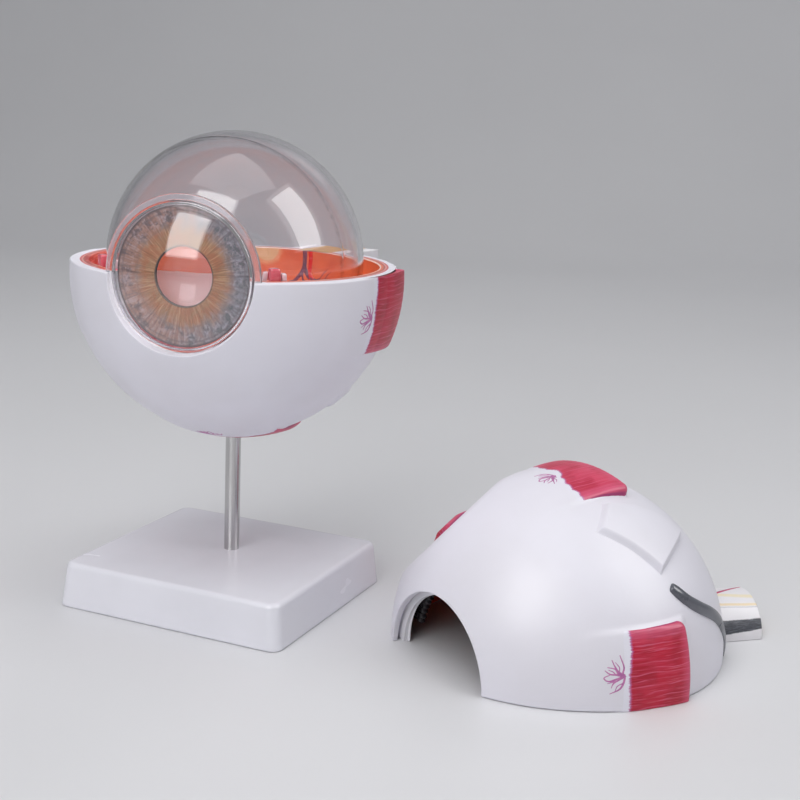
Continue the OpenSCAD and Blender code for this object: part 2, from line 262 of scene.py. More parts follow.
def choroid_material():
    """Cut edge of the middle layer: red, a pinkish line and a red-brown line, drawn by hand round the rim."""
    n = Nodes("choroid_red")
    co = n.obj()
    x, y, z = n.sep(co)
    rr = n.math("MULTIPLY", n.vmath("LENGTH", n.comb(x, y, 0.0)), 1000.0)
    wob = n.math("MULTIPLY", n.math("SUBTRACT", n.noise(co, 140.0, 3.0), 0.5), 0.55)
    t = n.math("ADD", rr, wob)
    col = n.ramp(n.step(t, 65.6, 68.6), [
        (0.0, (0.36, 0.045, 0.030)), (0.24, (0.42, 0.055, 0.04)), (0.34, (0.78, 0.33, 0.28)),
        (0.52, (0.80, 0.40, 0.34)), (0.66, (0.62, 0.07, 0.08)), (0.88, (0.60, 0.05, 0.07)), (1.0, (0.75, 0.28, 0.27))])
    n2 = n.noise(co, 380.0, 3.0)
    col = n.mix(n.step(n2, 0.4, 0.7, 0.0, 0.3), col, (0.72, 0.18, 0.15))
    col, dd = opening_paint(n, co, col)
    return n.shader(Base_Color=col, Roughness=0.32, Normal=n.bump(n2, 0.00008, 0.3), IOR=1.5, Coat_Weight=0.25,
                    Coat_Roughness=0.15)


def muscle_material(name, base_a=(0.52, 0.016, 0.044), base_b=(0.40, 0.010, 0.030), ragged=4.4):
    """Crimson muscle: lengthwise brush streaks, pale crests, a painted highlight on the rounded shoulders, purple
    ragged front edge, white tendon in front.
    Attribute fib holds (along the fibres, across them, distance from the outline) in mm."""
    n = Nodes(name)
    a, b, e = n.sep(n.attr("fib"))
    v = n.comb(n.math("MULTIPLY", a, 0.055), b, 0.0)
    s1 = n.noise(v, 0.85, 3.0, 0.55, 0.15)
    s2 = n.noise(n.comb(n.math("MULTIPLY", a, 0.03), b, 4.0), 2.6, 2.0, 0.5)
    patch = n.noise(n.comb(a, b, 9.0), 0.10, 2.0, 0.5)
    col = n.mix(n.step(patch, 0.35, 0.65), base_a, base_b)
    col = n.mix(n.step(s1, 0.44, 0.62, 0.0, 0.50), col, (0.60, 0.040, 0.090))
    col = n.mix(n.step(s2, 0.58, 0.76, 0.0, 0.50), col, (0.72, 0.15, 0.23))
    col = n.mix(n.step(s2, 0.40, 0.28, 0.0, 0.35), col, (0.27, 0.004, 0.022))
    # long pale brush lines that follow the fibres
    drift = n.noise(n.comb(n.math("MULTIPLY", a, 0.035), n.math("MULTIPLY", b, 0.10), 6.0), 1.0, 2.0)
    wave_b = n.math("SINE", n.math("ADD", n.math("MULTIPLY", b, 2.75), n.math("MULTIPLY", drift, 15.0)))
    fade = n.step(n.noise(n.comb(n.math("MULTIPLY", a, 0.08), n.math("MULTIPLY", b, 0.5), 11.0), 1.0, 2.0), 0.36, 0.60)
    col = n.mix(n.math("MULTIPLY", n.step(wave_b, 0.66, 0.98, 0.0, 0.62), fade), col, (0.70, 0.14, 0.25))
    # rounded shoulders get a painted highlight in lighter pink, the outline a plum line
    col = n.mix(n.step(e, 6.5, 1.2, 0.0, 0.48), col, (0.74, 0.14, 0.27))
    col = n.mix(n.step(n.math("ADD", e, n.math("MULTIPLY", s1, 0.5)), 0.75, 0.35, 0.0, 0.8), col, (0.33, 0.035, 0.16))
    # ragged front edge: brush tails of different length
    teeth = n.noise(n.comb(0.0, b, 2.0), 1.55, 3.0, 0.75)
    wave = n.noise(n.comb(0.0, b, 7.0), 0.11, 1.0)
    edge = n.math("ADD", n.math("MULTIPLY", n.math("SUBTRACT", teeth, 0.5), ragged),
                  n.math("MULTIPLY", n.math("SUBTRACT", wave, 0.5), 2.2))
    f = n.math("ADD", a, edge)          # a = 0 at the painted edge, growing backwards
    purple = n.mix(n.step(teeth, 0.3, 0.7), (0.42, 0.10, 0.30), (0.60, 0.24, 0.46))
    col = n.mix(n.step(f, 1.5, 0.55), col, purple)
    white = (0.80, 0.785, 0.865)
    thin = n.step(f, 0.50, 0.10)
    col = n.mix(thin, col, white)
    height = n.math("ADD", n.math("MULTIPLY", s1, 0.6), n.math("MULTIPLY", s2, 0.4))
    r = n.math("ADD", n.math("MULTIPLY", s2, 0.18), 0.30)
    bm = n.bump(height, 0.00030, 0.28)
    return n.shader(Base_Color=col, Roughness=r, Normal=bm, IOR=1.45, Coat_Weight=0.05, Coat_Roughness=0.25, Specular_IOR_Level=0.34)


def nerve_material():
    """White sheath with hand-painted lengthwise stripes. Attribute fib: (along, around from the cut plane, -) in mm."""
    n = Nodes("nerve_sheath_painted")
    a, b, side = n.sep(n.attr("fib"))
    co = n.obj()
    drift = n.math("MULTIPLY", n.math("SUBTRACT", n.noise(n.comb(n.math("MULTIPLY", a, 0.09), 0.0, 3.0), 1.0, 2.0), 0.5), 0.9)
    rag = n.math("MULTIPLY", n.math("SUBTRACT", n.noise(n.comb(n.math("MULTIPLY", a, 0.5), b, 0.0), 1.3, 3.0, 0.7), 0.5), 0.5)
    t = n.math("ADD", b, n.math("ADD", drift, rag))
    cloud = n.noise(co, 120.0, 3.0)
    col = n.mix(cloud, (0.83, 0.81, 0.84), (0.77, 0.75, 0.78))

    def stripe(colour, lo, hi, soft=0.25, slope=0.0, amount=1.0, slope_lo=None):
        nonlocal col
        tt = n.math("ADD", t, n.math("MULTIPLY", a, slope))
        tl = tt if slope_lo is None else n.math("ADD", t, n.math("MULTIPLY", a, slope_lo))
        m = n.math("MULTIPLY", n.step(tl, lo - soft, lo + soft), n.step(tt, hi + soft, hi - soft))
        if amount < 1.0:
            m = n.math("MULTIPLY", m, amount)
        col = n.mix(m, col, colour)

    dry = n.noise(n.comb(n.math("MULTIPLY", a, 0.12), b, 5.0), 2.4, 3.0, 0.6)
    slate = n.mix(n.step(dry, 0.42, 0.66), (0.050, 0.053, 0.066), (0.12, 0.125, 0.15))
    stripe(slate, 3.0, 9.4, 0.3, 0.0, 1.0, -0.08)
    stripe((0.50, 0.49, 0.54), 15.7, 16.3, 0.2, 0.06, 0.7)
    stripe((0.82, 0.64, 0.36), 16.8, 18.1, 0.4, 0.068, 0.8)
    stripe((0.84, 0.72, 0.42), 23.2, 25.3, 0.6, 0.17, 0.65)
    stripe((0.52, 0.03, 0.12), 22.6, 23.9, 0.2, -0.39)
    stripe((0.22, 0.02, 0.10), 23.6, 24.0, 0.15, -0.39, 0.7)
    stripe((0.76, 0.36, 0.42), 36.0, 37.4, 0.3, -0.04, 0.8)
    stripe((0.84, 0.66, 0.34), 40.5, 42.5, 0.4, 0.0, 0.8)
    stripe(slate, 45.5, 49.5, 0.3, -0.02)
    b1 = n.bump(n.noise(co, 700.0, 3.0), 0.00006, 0.3)
    return n.shader(Base_Color=col, Roughness=0.45, Normal=b1, IOR=1.48, Coat_Weight=0.04, Coat_Roughness=0.25)


def iris_material():
    """Printed iris: amber inner zone with radial fibres, mottled blue-grey outer zone, dark rim."""
    n = Nodes("iris_print")
    co = n.obj()
    x, y, z = n.sep(co)
    flat = n.comb(x, 0.0, z)
    r = n.math("MULTIPLY", n.vmath("LENGTH", flat), 1000.0)
    d = n.vmath("NORMALIZE", flat)
    dx, dy, dz = n.sep(d)
    fib = n.noise(n.comb(n.math("MULTIPLY", dx, 9.0), n.math("MULTIPLY", r, 0.05), n.math("MULTIPLY", dz, 9.0)), 1.0, 4.0, 0.6, 0.1)
    fib2 = n.noise(n.comb(n.math("MULTIPLY", dx, 30.0), n.math("MULTIPLY", r, 0.10), n.math("MULTIPLY", dz, 30.0)), 1.0, 4.0, 0.62, 0.25)
    mott = n.noise(flat, 430.0, 4.0, 0.66, 0.7)
    patch = n.noise(flat, 190.0, 3.0, 0.6, 0.4)
    cloud = n.noise(flat, 62.0, 2.0, 0.55, 0.3)
    t0 = n.math("DIVIDE", n.math("SUBTRACT", r, 12.5), 16.0)
    t = n.math("ADD", t0, n.math("MULTIPLY", n.math("SUBTRACT", fib, 0.5), 0.34))
    t = n.math("ADD", t, n.math("MULTIPLY", n.math("SUBTRACT", cloud, 0.5), 0.45))
    t = n.math("ADD", t, n.math("MULTIPLY", n.math("SUBTRACT", patch, 0.5), 0.22))
    # one side of the eye is bluer, the other browner
    side = n.step(n.math("ADD", dx, n.math("MULTIPLY", n.math("SUBTRACT", patch, 0.5), 2.2)), -0.55, 0.75)
    rim_a, rim_b = (0.255, 0.136, 0.108), (0.162, 0.160, 0.186)
    outer_col = n.mix(side, rim_a, rim_b)
    outer_col = n.mix(n.step(patch, 0.52, 0.62, 0.0, 0.7), outer_col, (0.235, 0.195, 0.225))
    inner_col = n.mix(n.step(patch, 0.38, 0.62), (0.280, 0.100, 0.042), (0.265, 0.138, 0.066))
    col = n.mix(n.step(t, 0.26, 0.74), inner_col, outer_col)
    outer = n.step(t, 0.30, 0.68)
    col = n.mix(n.step(fib2, 0.50, 0.64, 0.0, 0.55), col, n.mix(outer, (0.48, 0.29, 0.16), (0.33, 0.28, 0.30)))
    col = n.mix(n.step(fib2, 0.48, 0.36, 0.0, 0.60), col, n.mix(outer, (0.17, 0.075, 0.03), (0.085, 0.070, 0.080)))
    fleck = n.step(n.math("ADD", n.math("MULTIPLY", mott, 0.55), n.math("MULTIPLY", patch, 0.45)), 0.50, 0.58, 0.0, 0.80)
    col = n.mix(n.math("MULTIPLY", fleck, n.step(t, 0.40, 0.75)), col, n.mix(side, (0.085, 0.050, 0.050), (0.050, 0.062, 0.070)))
    col = n.mix(n.math("MULTIPLY", n.step(mott, 0.46, 0.38, 0.0, 0.55), outer), col, n.mix(side, (0.36, 0.26, 0.25), (0.30, 0.29, 0.34)))
    # circular furrows
    ring = n.math("ADD", r, n.math("MULTIPLY", cloud, 1.2))
    f1 = n.math("MULTIPLY", n.step(ring, 26.4, 26.9), n.step(ring, 27.6, 27.0))
    col = n.mix(n.math("MULTIPLY", f1, 0.45), col, (0.09, 0.065, 0.075))
    f2 = n.math("MULTIPLY", n.step(ring, 20.4, 21.0), n.step(ring, 22.0, 21.3))
    col = n.mix(n.math("MULTIPLY", f2, 0.35), col, (0.15, 0.10, 0.085))
    col = n.mix(n.step(r, 27.3, 28.1), col, (0.075, 0.045, 0.050))
    col = n.mix(n.step(r, 12.9, 12.4), col, (0.050, 0.035, 0.032))
    h = n.math("ADD", fib2, n.math("MULTIPLY", mott, 0.5))
    return n.shader(Base_Color=col, Roughness=0.52, Normal=n.bump(h, 0.00018, 0.4), IOR=1.5, Coat_Weight=0.08,
                    Coat_Roughness=0.08)


def clear_material(name, tint, rough=0.012, ior=1.49, haze=0.004, clear=1.0, gloss=0.5):
    """Clear moulded plastic with faint flow marks and rub haze in its gloss."""
    n = Nodes(name)
    co = n.obj()
    flow = n.noise(co, 26.0, 2.0, 0.5)
    rub = n.noise(n.vmath("MULTIPLY", co, (90.0, 90.0, 260.0)), 1.0, 4.0, 0.7)
    r = n.math("ADD", n.math("MULTIPLY", n.step(rub, 0.58, 0.85), haze * 6), rough)
    col = n.mix(flow, tint, tuple(min(1.0, c * 1.012) for c in tint))
    b = n.bump(flow, 0.00035, 0.12)
    return n.shader(Base_Color=col, Roughness=r, Normal=b, IOR=ior, Transmission_Weight=clear, Specular_IOR_Level=gloss)


def steel_material(name, axis=2, rough=0.20, tint=(0.62, 0.61, 0.61)):
    """Drawn steel: fine lines along its length, a little uneven polish."""
    n = Nodes(name)
    co = n.obj()
    k = [900.0, 900.0, 900.0]
    k[axis] = 6.0
    lines = n.noise(n.vmath("MULTIPLY", co, tuple(k)), 1.0, 4.0, 0.7)
    blot = n.noise(co, 90.0, 3.0, 0.6)
    col = n.mix(n.step(lines, 0.3, 0.7), tint, tuple(c * 0.78 for c in tint))
    r = n.math("ADD", n.math("MULTIPLY", lines, 0.14), n.math("MULTIPLY", blot, 0.10))
    r = n.math("ADD", r, rough - 0.10)
    return n.shader(Base_Color=col, Roughness=r, Metallic=1.0, Normal=n.bump(lines, 0.00003, 0.4))


# -------------------------------------------------------------------- meshes
class Build:
    """Collects grids and faces in mm and makes one closed object of them."""

    def __init__(self):
        self.v, self.f, self.n = [], [], 0

    def add(self, pts):
        pts = np.array(pts, float).reshape(-1, 3)
        i = self.n
        self.v.append(pts)
        self.n += len(pts)
        return i

    def grid(self, p, wrap=False):
        r, c, _ = p.shape
        idx = np.arange(r * c).reshape(r, c) + self.add(p)
        if wrap:
            idx = np.concatenate([idx, idx[:, :1]], 1)
        q = np.stack([idx[:-1, :-1], idx[:-1, 1:], idx[1:, 1:], idx[1:, :-1]], -1).reshape(-1, 4)
        self.f += q.tolist()
        return self

    def ngon(self, pts):
        i = self.add(pts)
        self.f.append(list(range(i, i + len(np.asarray(pts).reshape(-1, 3)))))
        return self

    def make(self, name, place, body, mat, slot, replaces=(), sharp=38.0, merge=0.006, attr=None, flip=None):
        v = np.concatenate(self.v)
        bm = bmesh.new()
        bv = [bm.verts.new(p) for p in (v * MM)]
        for f in self.f:
            k = []
            for i in f:
                if not k or i != k[-1]:
                    k.append(i)
            try:
                bm.faces.new([bv[i] for i in k])
            except ValueError:
                pass
        bmesh.ops.remove_doubles(bm, verts=bm.verts, dist=merge * MM)
        bmesh.ops.dissolve_degenerate(bm, dist=merge * MM * 0.5, edges=bm.edges)
        loose = [x for x in bm.verts if not x.link_faces]
        bmesh.ops.delete(bm, geom=loose, context="VERTS")
        bmesh.ops.recalc_face_normals(bm, faces=bm.faces)
        me = bpy.data.meshes.new(name)
        bm.to_mesh(me)
        bm.free()
        me.shade_smooth()
        me.set_sharp_from_angle(angle=math.radians(sharp))
        me.materials.append(mat)
        o = bpy.data.objects.new(name, me)
        bpy.context.scene.collection.objects.link(o)
        co = np.zeros(len(me.vertices) * 3, np.float32)
        me.vertices.foreach_get("co", co)
        layer = me.attributes.new("eye", "FLOAT_VECTOR", "POINT")
        layer.data.foreach_set("vector", co)
        if attr is not None:
            val = attr(co.reshape(-1, 3).astype(float) / MM)
            layer = me.attributes.new("fib", "FLOAT_VECTOR", "POINT")
            layer.data.foreach_set("vector", np.asarray(val, np.float32).ravel())
        me.transform(place)
        me.update()
        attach(o, body)
        if replaces:
            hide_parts(*replaces)
        return o


def rounded(points, radii, n=6):
    """Polyline of (rho, d) points with its corners rounded."""
    P = [np.array(p, float) for p in points]
    out = []
    for i, p in enumerate(P):
        r = radii[i] if i < len(radii) else 0
        if r <= 0 or i == 0 or i == len(P) - 1:
            out.append(p)
            continue
        a, b = P[i - 1] - p, P[i + 1] - p
        la, lb = np.linalg.norm(a), np.linalg.norm(b)
        a, b = a / la, b / lb
        ang = math.acos(max(-1, min(1, float(a @ b))))
        cut = min(r / math.tan(ang / 2), la * 0.49, lb * 0.49)
        rr = cut * math.tan(ang / 2)
        mid = (a + b) / np.linalg.norm(a + b)
        c = p + mid * (rr / math.sin(ang / 2))
        s, e = p + a * cut, p + b * cut
        v0, v1 = s - c, e - c
        th = math.acos(max(-1, min(1, float(v0 @ v1) / (np.linalg.norm(v0) * np.linalg.norm(v1)))))
        for k in range(n + 1):
            t = k / n
            w0, w1 = math.sin((1 - t) * th), math.sin(t * th)
            out.append(c + (v0 * w0 + v1 * w1) / math.sin(th) if th > 1e-6 else s)
    return np.array(out)


def arc_pts(cx, r, rho0, rho1, n, sign=1):
    """Points (rho, d) on a sphere of radius r centred at distance cx along the axis, between two rho."""
    t = np.linspace(0, 1, n)
    a0, a1 = math.asin(min(1, rho0 / r)), math.asin(min(1, rho1 / r))
    a = a0 + (a1 - a0) * t
    return np.stack([r * np.sin(a), cx + sign * r * np.cos(a)], -1)


def lathe(profile, nseg=160, closed=True, axis="optical", shift=None):
    """Grid of a closed profile of (rho, d) turned about the optical axis (d to the front) or the vertical."""
    pr = np.asarray(profile, float)
    if closed:
        pr = np.concatenate([pr, pr[:1]])
    a = np.linspace(0, 2 * math.pi, nseg, endpoint=False)
    rho, d = pr[:, :1], pr[:, 1:2]
    if axis == "optical":
        p = np.stack([rho * np.cos(a), -d + 0 * a, rho * np.sin(a)], -1)
    else:
        p = np.stack([rho * np.cos(a), rho * np.sin(a), d + 0 * a], -1)
    return p


def unit(az, el):
    az, el = np.radians(az), np.radians(el)
    return np.stack([np.sin(az) * np.cos(el), -np.cos(az) * np.cos(el), np.sin(el) + 0 * az], -1)


def smoothstep(x, a, b):
    t = np.clip((x - a) / (b - a), 0, 1)
    return t * t * (3 - 2 * t)


def smin(a, b, k):
    h = np.clip(0.5 + 0.5 * (b - a) / k, 0, 1)
    return b + (a - b) * h - k * h * (1 - h)


def rnd(seed):
    return np.random.RandomState(seed)


# --- shapes of the two half shells -------------------------------------------
FLAT_U = unit(np.array(-53.0), np.array(41.0))


def flat_radius(D, extra=0.0):
    """Distance from the sphere's centre to the flat on the upper shell along directions D."""
    c = D @ FLAT_U
    return np.where(c > 0.2, (72 - 6.3 - extra) / np.maximum(c, 0.2), 1e3)


def tendon_side(D, up, side):
    """Height of the white tendon that runs forward from a side muscle (side +1 nasal, -1 temporal)."""
    az = np.degrees(np.arctan2(D[..., 0] * side, -D[..., 1]))
    el = np.degrees(np.arcsin(np.clip(D[..., 2], -1, 1)))
    w = 72 * np.sin(np.radians(el)) + ZC[up]
    if up and side < 0:
        return np.zeros_like(az)
    top = (31.0 if up else 33.6) + 0.035 * (az - 73) - 1.2 * smoothstep(az, 66, 50)
    ramp = smoothstep(az, 50, 77) * (1 - smoothstep(az, 96, 99.0))
    edge = smoothstep(w, top + 0.9, top - 1.1 - 2.5 * smoothstep(az, 68, 52))
    return 1.15 * ramp * edge


def tendon_top(D, up):
    """Height of the tendon in front of the top (or bottom) muscle."""
    x, y = D[..., 0] * 72, D[..., 1] * 72
    facing = D[..., 2] > 0.2
    half = (21.8 if up else 26.5) - 0.10 * np.clip(-y - 10, 0, 40)
    ramp = smoothstep(-y, 34, 6) * (1 - smoothstep(y, 13.0, 17.0))
    edge = smoothstep(np.abs(x), half + 1.3, half - 1.0)
    return np.where(facing, 1.3 * ramp * edge, 0)


def outer_height(D, up):
    h = tendon_side(D, up, 1) + tendon_side(D, up, -1) + tendon_top(D, up)
    # very slow waviness of a vacuum-formed shell
    h = h + 0.10 * np.sin(D[..., 0] * 7.1 + 1.3) * np.sin(D[..., 1] * 6.3 + 0.4) * np.sin(D[..., 2] * 5.7 + 2.1)
    return h


def layer_radii(D, up):
    """Radii of the four surfaces: outside, sclera/choroid, choroid/retina, inside."""
    r0 = GLOBE_R + outer_height(D, up)
    r = [r0, 68.4 + 0 * r0, 66.2 + 0 * r0, 64.4 + 0 * r0]
    if up:
        r[0] = smin(r0, flat_radius(D), 1.6)
        s = flat_radius(D, 3.6)
        r[1] = np.minimum(r[1], s)
        r[2] = np.minimum(r[2], s - 0.15)
        r[3] = np.minimum(r[3], s - 0.30)
    return r


NOTCH = np.array([(31.5, 90.0), (31.5, 62.1), (33.9, 62.1), (33.9, 60.1), (29.4, 60.1), (29.4, 58.4), (12.0, 58.4)])


def notch_walk():
    """The opening's wall as a densely sampled polyline: arc lengths and (rho, d)."""
    t, pts = [0.0], [NOTCH[0]]
    corners = [0.0]
    for a, b in zip(NOTCH[:-1], NOTCH[1:]):
        L = np.linalg.norm(b - a)
        m = max(2, int(L / 0.08))
        for k in range(1, m + 1):
            pts.append(a + (b - a) * k / m)
            t.append(corners[-1] + L * k / m)
        corners.append(corners[-1] + L)
    return np.array(t), np.array(pts), corners


def shell(name, up, layer, q_out, q_in, rows_out, rows_in, mat, slot, node, hole=0.0, step=1.0):
    """One layer of a half shell: outer grid, inner grid, rim and the wall of the front opening."""
    zc = ZC[up]
    c = np.array([0, 0, zc])
    Rn = [72.0, 68.4, 66.2, 64.4]
    R1, R2 = Rn[layer], Rn[layer + 1]
    T, NP, corners = notch_walk()
    nph = 96
    phi = np.linspace(math.pi, 0, nph + 1)

    def cross(R):
        """Arc length along the opening's wall at which each column leaves the sphere R (last crossing)."""
        out = []
        for f in phi:
            x, w = NP[:, 0] * math.cos(f), NP[:, 0] * math.sin(f)
            g = np.sqrt(x * x + NP[:, 1] ** 2 + (w - zc) ** 2)
            k = np.nonzero(g >= R)[0][-1]
            k = min(k, len(T) - 2)
            u = (g[k] - R) / max(1e-9, g[k] - g[k + 1])
            out.append(T[k] + min(1, max(0, u)) * (T[k + 1] - T[k]))
        return np.array(out)

    def wall_at(t, f):
        rho = np.interp(t, T, NP[:, 0])
        d = np.interp(t, T, NP[:, 1])
        return np.stack([rho * np.cos(f), -d, rho * np.sin(f)], -1)

    t_out, t_in = cross(R1 - q_out), cross(R2 + q_in)
    edge_out, edge_in = wall_at(t_out, phi), wall_at(t_in, phi)

    def rest(edge, R):
        """Columns of the plain rim, from the opening's right corner round the back to its left corner."""
        a0 = math.degrees(math.atan2(edge[-1, 0], -edge[-1, 1]))
        a1 = 360 + math.degrees(math.atan2(edge[0, 0], -edge[0, 1]))
        near = np.array([0.12, 0.3, 0.55, 0.9, 1.4, 2.0, 2.8]) / 72 * 57.3
        far = np.linspace(a0 + near[-1] + step * 0.8, a1 - near[-1] - step * 0.8, int((a1 - a0) * 72 / 57.3 / (1.1 * step)))
        az = np.concatenate([a0 + near, far, (a1 - near)[::-1]])
        rxy = math.sqrt(R * R - zc * zc)
        return np.stack([rxy * np.sin(np.radians(az)), -rxy * np.cos(np.radians(az)), 0 * az], -1)

    B = np.concatenate([edge_out, rest(edge_out, R1 - q_out)])
    I = np.concatenate([edge_in, rest(edge_in, R2 + q_in)])
    # rest() gives the same number of columns for both, or the inner one is resampled
    if len(I) != len(B):
        k = len(B) - (nph + 1)
        r0 = I[nph + 1:]
        idx = np.linspace(0, len(r0) - 1, k)
        lo = np.floor(idx).astype(int)
        hi = np.minimum(lo + 1, len(r0) - 1)
        fr = (idx - lo)[:, None]
        I = np.concatenate([I[:nph + 1], r0[lo] * (1 - fr) + r0[hi] * fr])

    top_el = 90.0 if hole <= 0 else 90.0 - math.degrees(math.asin(hole / 68.0))

    def surface(E, R, q, which, rows, sign):
        """Rows from the edge E to the pole over surface number which."""
        D0 = (E - c) / np.linalg.norm(E - c, axis=1)[:, None]
        az = np.degrees(np.arctan2(D0[:, 0], -D0[:, 1]))
        el0 = np.degrees(np.arcsin(np.clip(D0[:, 2], -1, 1)))
        L = R * np.radians(top_el - el0)
        first = np.array([0, 0.02, 0.08, 0.2, 0.4, 0.7, 1.0, 1.5]) * max(q, 0.3)
        k = np.linspace(0, 1, rows - len(first) + 1)[1:]
        s = np.concatenate([first[:, None] + 0 * L[None, :], first[-1] + k[:, None] * (L - first[-1])[None, :]])
        el = el0[None, :] + np.degrees(s / R)
        D = unit(az[None, :] + 0 * el, el)
        r = layer_radii(D, up)[which]
        P = c + D * r[..., None]
        if q > 0:
            e1 = P[..., 2]
            e2 = np.where(P[..., 1] < 0, np.hypot(P[..., 0], P[..., 2]) - (31.5 if which == 0 else 29.4), 99.0)
            e1, e2 = np.clip(e1, 0, None), np.clip(e2, 0, None)
            both = (e1 < q) & (e2 < q)
            e = np.where(both, q - np.hypot(q - np.minimum(e1, q), q - np.minimum(e2, q)), np.minimum(e1, e2))
            e = np.clip(e, 0, q)
            drop = q - np.sqrt(np.maximum(q * q - (q - e) ** 2, 0))
            if which != 0:
                drop = np.where(e1 < q, drop, 0)
            P = c + D * (r - sign * drop)[..., None]
        P[0] = E + 0.0
        if which == 0:
            nn = nph + 1
            extra = (r[0] - R)[nn:, None] * D[0, nn:]
            P[0, nn:] += extra
        P[..., 2] = np.maximum(P[..., 2], 0)
        P[0, nph + 1:, 2] = 0
        return P

    PO = surface(B, R1, q_out, layer, rows_out, 1)
    PI = surface(I, R2, q_in, layer + 1, rows_in, -1)
    b = Build()

    def put(G, wrap=False):
        G = np.array(G)
        if not up:
            G = G * np.array([1, 1, -1])
        b.grid(G, wrap)

    put(PO, True)
    put(PI, True)
    # opening's wall
    marks = sorted(set([0.0, 1.0]))
    ks = np.linspace(0, 1, 5)
    rows = []
    stops = [x for x in corners[1:-1]]
    base = [t_out + (t_in - t_out) * k for k in ks]
    lines = base + [np.clip(np.full_like(t_out, s), t_out, t_in) for s in stops]
    S = np.sort(np.stack(lines), axis=0)
    W = np.stack([wall_at(S[k], phi) for k in range(len(S))])
    W[0], W[-1] = PO[0, :nph + 1], PI[0, :nph + 1]
    W[..., 2] = np.maximum(W[..., 2], 0)
    W[:, 0, 2] = W[:, -1, 2] = 0
    put(W)
    # rim
    cols = list(range(nph, len(B))) + [0]
    put(np.stack([PO[0, cols], PI[0, cols]]))
    # ends of the opening's wall on the rim plane
    for j in (0, nph):
        poly = W[:, j] * (np.array([1, 1, -1]) if not up else 1)
        keep = [poly[0]]
        for p in poly[1:]:
            if np.linalg.norm(p - keep[-1]) > 0.01:
                keep.append(p)
        if len(keep) > 2:
            b.ngon(keep)
    if hole > 0:
        put(np.stack([PO[-1], PI[-1]]), True)
    return b.make(name, PLACE[up], BODY[up], mat, slot, (node,))


# --- muscles -------------------------------------------------------------------
def sd_box(x, y, cx, cy, hx, hy, r):
    """Distance inside a rounded rectangle (positive inside)."""
    dx, dy = np.abs(x - cx) - (hx - r), np.abs(y - cy) - (hy - r)
    return r - (np.hypot(np.maximum(dx, 0), np.maximum(dy, 0)) + np.minimum(np.maximum(dx, dy), 0))


def fibres(a, b, seed, amount):
    """Lengthwise ridges: crests across b that wander a little along a."""
    g = rnd(seed)
    h = 0 * a
    for k in range(7):
        f = 1.6 + 0.75 * k + g.rand() * 0.4
        h = h + np.sin(b * f + g.rand() * 6.28 + 0.35 * np.sin(a * (0.10 + 0.05 * g.rand()) + g.rand() * 6.28)) / (1.5 + 0.6 * k)
    return amount * h / 2.0


def round_profile(e, w):
    t = np.clip(e / w, 0, 1)
    return np.sqrt(np.maximum(0, 1 - (1 - t) ** 2))


def side_muscle(name, up, side, node, seed, az_front, az_back, top, mat, lean=0.035, cut=0.0):
    """Stump of a side muscle with its white tendon's last few millimetres."""
    zc = ZC[up]
    k = 72 * math.pi / 180
    az = np.concatenate([np.linspace(az_front - 4.0, az_back - 3.2, 84), np.linspace(az_back - 3.1, az_back + 0.8, 30)])
    w = np.concatenate([np.linspace(max(0.0, cut - 0.6), top - 4.5, 78), np.linspace(top - 4.4, top + 0.8, 34)])
    AZ, W = np.meshgrid(az, w)
    el = np.degrees(np.arcsin((W - zc) / 73.0))
    D = unit(AZ * side, el)
    a = (AZ - az_front) * k
    b = W
    L = (az_back - az_front) * k
    tilt = lean * a
    # outline: open at the front and at the cut plane, rounded rear corner
    e = sd_box(a, b - tilt, L / 2 - 30, (top) / 2 - 30, L / 2 + 30, (top) / 2 + 30, 3.6)
    if cut > 0:
        e = np.minimum(e, W - cut)
    y = 7.8 * (-np.cos(np.radians(AZ)) * -1) * np.cos(np.radians(el))
    uc = -7.8 * np.cos(np.radians(AZ)) * np.cos(np.radians(el))
    r_top = uc + np.sqrt(74.5 ** 2 - 60.84 + uc * uc)
    H = np.maximum(r_top - 72 + 0.30, 0.0)
    base = outer_height(D, up)
    H = np.maximum(H, base + 0.22 * smoothstep(a, -3.0, 0.5))
    H = H + fibres(a, b, seed, 0.06) * smoothstep(a, -0.5, 2.5) * smoothstep(e, 0.3, 1.8)
    w_edge = 2.6
    prof = round_profile(e, w_edge)
    low = base - 0.35
    r = 72 + low + (H - low) * prof
    r = np.where(e <= 0, 72 + low, r)
    front = smoothstep(a, -4.0 * k + 0.0, -1.5)
    r = 72 + base - 0.30 + (r - (72 + base - 0.30)) * front
    P = np.array([0, 0, zc]) + D * r[..., None]
    inner = np.array([0, 0, zc]) + D * 71.4
    if cut <= 0:
        P[0, :, 2] = 0
        inner[0, :, 2] = 0
    bld = Build()
    m = np.array([1, 1, 1 if up else -1])
    P, inner = P * m, inner * m
    bld.grid(P).grid(inner)
    bld.grid(np.stack([P[0], inner[0]])).grid(np.stack([P[-1], inner[-1]]))
    bld.grid(np.stack([P[:, 0], inner[:, 0]])).grid(np.stack([P[:, -1], inner[:, -1]]))

    def attr(co):
        q = co * m - np.array([0, 0, zc])
        rr = np.linalg.norm(q, axis=1)
        A = (np.degrees(np.arctan2(q[:, 0] * side, -q[:, 1])) - az_front) * k
        Wq = q[:, 2] * 73.0 / rr + zc
        E = sd_box(A, Wq - lean * A, L / 2 - 30, top / 2 - 30, L / 2 + 30, top / 2 + 30, 3.6)
        if cut > 0:
            E = np.minimum(E, Wq - cut)
        return np.stack([A, Wq, E], -1)

    return bld.make(name, PLACE[up], BODY[up], mat, "muscle_paint", (node,), attr=attr, sharp=60)


